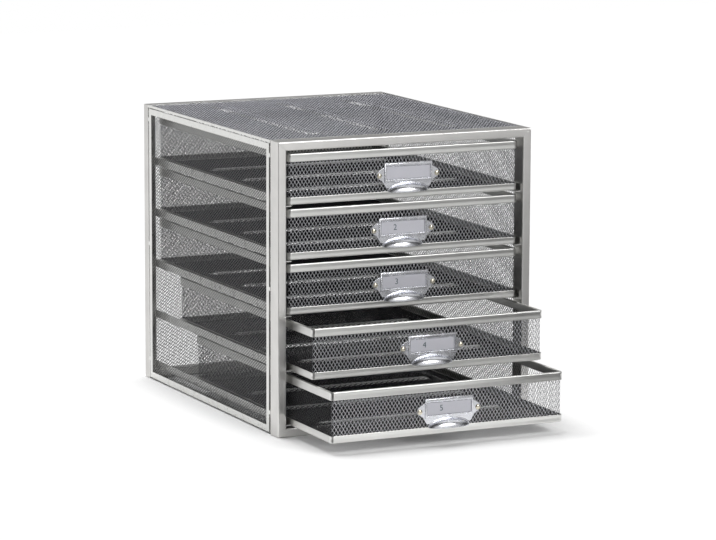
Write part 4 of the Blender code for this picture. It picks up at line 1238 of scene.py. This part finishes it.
class DRAWERBOX_OT_stage(bpy.types.Operator):
    """Makes the pale floor, the soft studio light and the camera"""

    bl_idname = "drawerbox.stage"
    bl_label = "Stage"

    white = (1.0, 1.0, 1.0, 1.0)
    floor_half = 4.0
    floor_drop = 0.0002
    floor_shade = 0.86
    glow_share = 0.97
    glow_strength = 1.04
    shadow_reach = 0.05

    # Name, direction, inner and outer edge as cosines, and brightness of the room's lit parts
    room_base = 0.06
    room_lights = (
        ("front", (0.10, -0.99, 0.05), 0.97, 0.60, 0.60),
        ("back_left", (-0.45, 0.88, 0.05), 0.97, 0.60, 0.75),
        ("back_right", (0.62, 0.75, 0.20), 0.96, 0.66, 0.46),
        ("overhead", (0.45, 0.25, 0.86), 0.95, 0.74, 0.85),
    )

    # Name, place, aim, size and watts of each lamp, and whether the metal reflects it
    lamps = (
        ("key_softbox", (0.7, -2.2, 1.7), (0.0, 0.0, 0.10), (1.2, 1.0), 36.0, True),
        ("overhead_softbox", (-0.5, 0.8, 2.2), (-0.2, 0.3, 0.0), (1.8, 1.8), 62.0, False),
    )

    # Outline, shade and share of the floor's drop of each card in front of and beside the box.
    # Each card is a painted dark reflection: the near one stands for the floor's shadow near the
    # box.
    flag_gap = 0.006
    side, front = CAD_BOX[0][0] - flag_gap, CAD_BOX[0][1] - flag_gap
    flags = {
        "black_flag": (((side, front), (side, -2.0), (-2.0, -2.0), (-2.0, -0.5)), 0.02, 0.5),
        "grey_flag": (
            ((-0.10, -0.30), (3.0, -0.30), (3.0, -2.2), (0.98, -2.2), (0.40, -1.0)), 0.14, 0.5),
        "near_flag": (((0.15, -0.20), (0.60, -0.20), (0.60, -0.55), (0.15, -0.55)), 0.03, 0.25),
    }

    def matt(self, shade, roughness):
        """Constants of a matt grey."""
        return {"Base Color": (shade, shade, shade, 1.0), "Roughness": roughness}

    def flat_stage(self, name, outline, drop, material):
        """A flat stage piece below the box's lowest point."""
        mesh = bpy.data.meshes.new(name)
        level = CAD_BOX[0][2] - drop
        mesh.from_pydata([(x, y, level) for x, y in outline], [], [tuple(range(len(outline)))])
        mesh.materials.append(material)
        made = new_object(name, mesh)
        return made

    def floor(self):
        """White to the camera and in the metal, but for a soft shadow near the box, else matt.

        The share of white grows with the distance from the box's plan.
        """
        material, tree, shader = start_material(
            "studio_floor_white", self.matt(self.floor_shade, roughness=0.9))
        low, high = CAD_BOX
        middle = ((low[0] + high[0]) / 2, (low[1] + high[1]) / 2, low[2])
        reach = ((high[0] - low[0]) / 2, (high[1] - low[1]) / 2, 0.0)
        away = add_node(tree, "TexCoord").outputs["Object"]
        for operation, other in (
                ("SUBTRACT", middle), ("ABSOLUTE", ZERO), ("SUBTRACT", reach), ("MAXIMUM", ZERO)):
            away = vector_math(tree, operation, away, other)["Vector"]
        share = add_node(tree, "MapRange", interpolation_type="SMOOTHSTEP", inputs={
            "Value": vector_math(tree, "LENGTH", away, ZERO)["Value"],
            "From Max": self.shadow_reach, "To Max": self.glow_share})
        seen = any_ray(tree, "Is Camera Ray", "Is Glossy Ray", "Is Transmission Ray")
        white = calculate(tree, "MULTIPLY", share.outputs["Result"], seen)
        glow = add_node(tree, "Emission", {"Color": self.white, "Strength": self.glow_strength})
        shaders = {0: white, 1: shader.outputs[0], 2: glow.outputs[0]}
        mix = add_node(tree, "MixShader", shaders)
        tree.links.new(mix.outputs[0], tree.nodes["Material Output"].inputs["Surface"])
        half = self.floor_half
        outline = [(-half, -half), (half, -half), (half, half), (-half, half)]
        self.flat_stage("studio_floor", outline, self.floor_drop, material)

    def flag(self, name, outline, shade, drop_share):
        """A card laid on the floor, which only the metal's reflections see."""
        material = start_material(name + "_card", self.matt(shade, roughness=1.0))[0]
        made = self.flat_stage(name, outline, self.floor_drop * drop_share, material)
        made.visible_camera = made.visible_diffuse = made.visible_shadow = False

    def world(self):
        """White to the camera; to the metal, a dim room with a few wide lights."""
        made = bpy.data.worlds.new("studio")
        bpy.context.scene.world = made
        made.use_nodes = True
        tree = made.node_tree
        tree.nodes.clear()
        direction = add_node(tree, "TexCoord").outputs["Generated"]
        total = self.room_base
        for name, aim, inner, outer, level in self.room_lights:
            facing = vector_math(tree, "DOT_PRODUCT", direction, Vector(aim).normalized())["Value"]
            lobe = add_node(tree, "MapRange", name=name, interpolation_type="SMOOTHSTEP", inputs={
                "Value": facing, "From Min": outer, "From Max": inner, "To Max": level})
            total = calculate(tree, "ADD", total, lobe.outputs["Result"])
        seen = any_ray(tree, "Is Camera Ray", "Is Transmission Ray")
        levels = {"Factor": seen, "A": total, "B": 1.0}
        strength = add_node(tree, "Mix", data_type="FLOAT", inputs=levels).outputs["Result"]
        background = add_node(tree, "Background", {"Color": self.white, "Strength": strength})
        add_node(tree, "OutputWorld", {"Surface": background.outputs[0]})

    def lamp(self, name, place, aim, size, power, glossy):
        data = bpy.data.lights.new(name, "AREA")
        data.shape = "RECTANGLE"
        data.size, data.size_y = size
        data.energy = power
        made = new_object(name, data)
        made.location = place
        made.visible_glossy = glossy
        made.rotation_euler = (Vector(place) - Vector(aim)).to_track_quat("Z", "Y").to_euler()

    def camera(self):
        data = bpy.data.cameras.new("photo_camera")
        data.sensor_width = CAMERA_SENSOR_MM
        data.lens = CAMERA_LENS_MM
        data.clip_end = CAMERA_FAR
        made = new_object("photo_camera", data)
        turn = Euler((math.pi / 2 - CAMERA_PITCH, 0.0, -CAMERA_YAW)).to_matrix().to_4x4()
        roll = Matrix.Rotation(CAMERA_ROLL, 4, "Z")
        made.matrix_world = Matrix.Translation(CAMERA_PLACE) @ turn @ roll
        bpy.context.scene.camera = made

    def execute(self, context):
        context.scene.view_settings.view_transform = "Standard"
        self.camera()
        self.floor()
        for name, card in self.flags.items():
            self.flag(name, *card)
        self.world()
        for lamp in self.lamps:
            self.lamp(*lamp)
        return {"FINISHED"}


class DRAWERBOX_PT_panel(bpy.types.Panel):
    """Sizes, finishes and makers of the drawer box"""

    bl_idname = "DRAWERBOX_PT_panel"
    bl_label = "Drawer Box"
    bl_space_type = "VIEW_3D"
    bl_region_type = "UI"
    bl_category = "Drawer Box"

    def draw(self, context):
        layout = self.layout
        for group in (context.scene.drawer_box_sizes, context.scene.drawer_box_finishes):
            column = layout.column(align=True)
            for name in group.__annotations__:
                column.prop(group, name)
        for operator in OPERATORS:
            layout.operator(operator.bl_idname)


GROUPS = (DrawerBoxSizes, DrawerBoxFinishes)
OPERATORS = (
    DRAWERBOX_OT_frames, DRAWERBOX_OT_side_panels, DRAWERBOX_OT_top_panel, DRAWERBOX_OT_back_panel,
    DRAWERBOX_OT_drawer_rims, DRAWERBOX_OT_drawer_mesh, DRAWERBOX_OT_pulls, DRAWERBOX_OT_rivets,
    DRAWERBOX_OT_cards, DRAWERBOX_OT_carried, DRAWERBOX_OT_stage,
)
CLASSES = (*GROUPS, *OPERATORS, DRAWERBOX_PT_panel)


def register():
    for cls in CLASSES:
        bpy.utils.register_class(cls)
    bpy.types.Scene.drawer_box_sizes = bpy.props.PointerProperty(type=DrawerBoxSizes)
    bpy.types.Scene.drawer_box_finishes = bpy.props.PointerProperty(type=DrawerBoxFinishes)


def unregister():
    del bpy.types.Scene.drawer_box_finishes
    del bpy.types.Scene.drawer_box_sizes
    for cls in reversed(CLASSES):
        bpy.utils.unregister_class(cls)


def main():
    register()
    for operator in OPERATORS:
        group, name = operator.bl_idname.split(".")
        getattr(getattr(bpy.ops, group), name)()


if __name__ == "__main__":
    main()
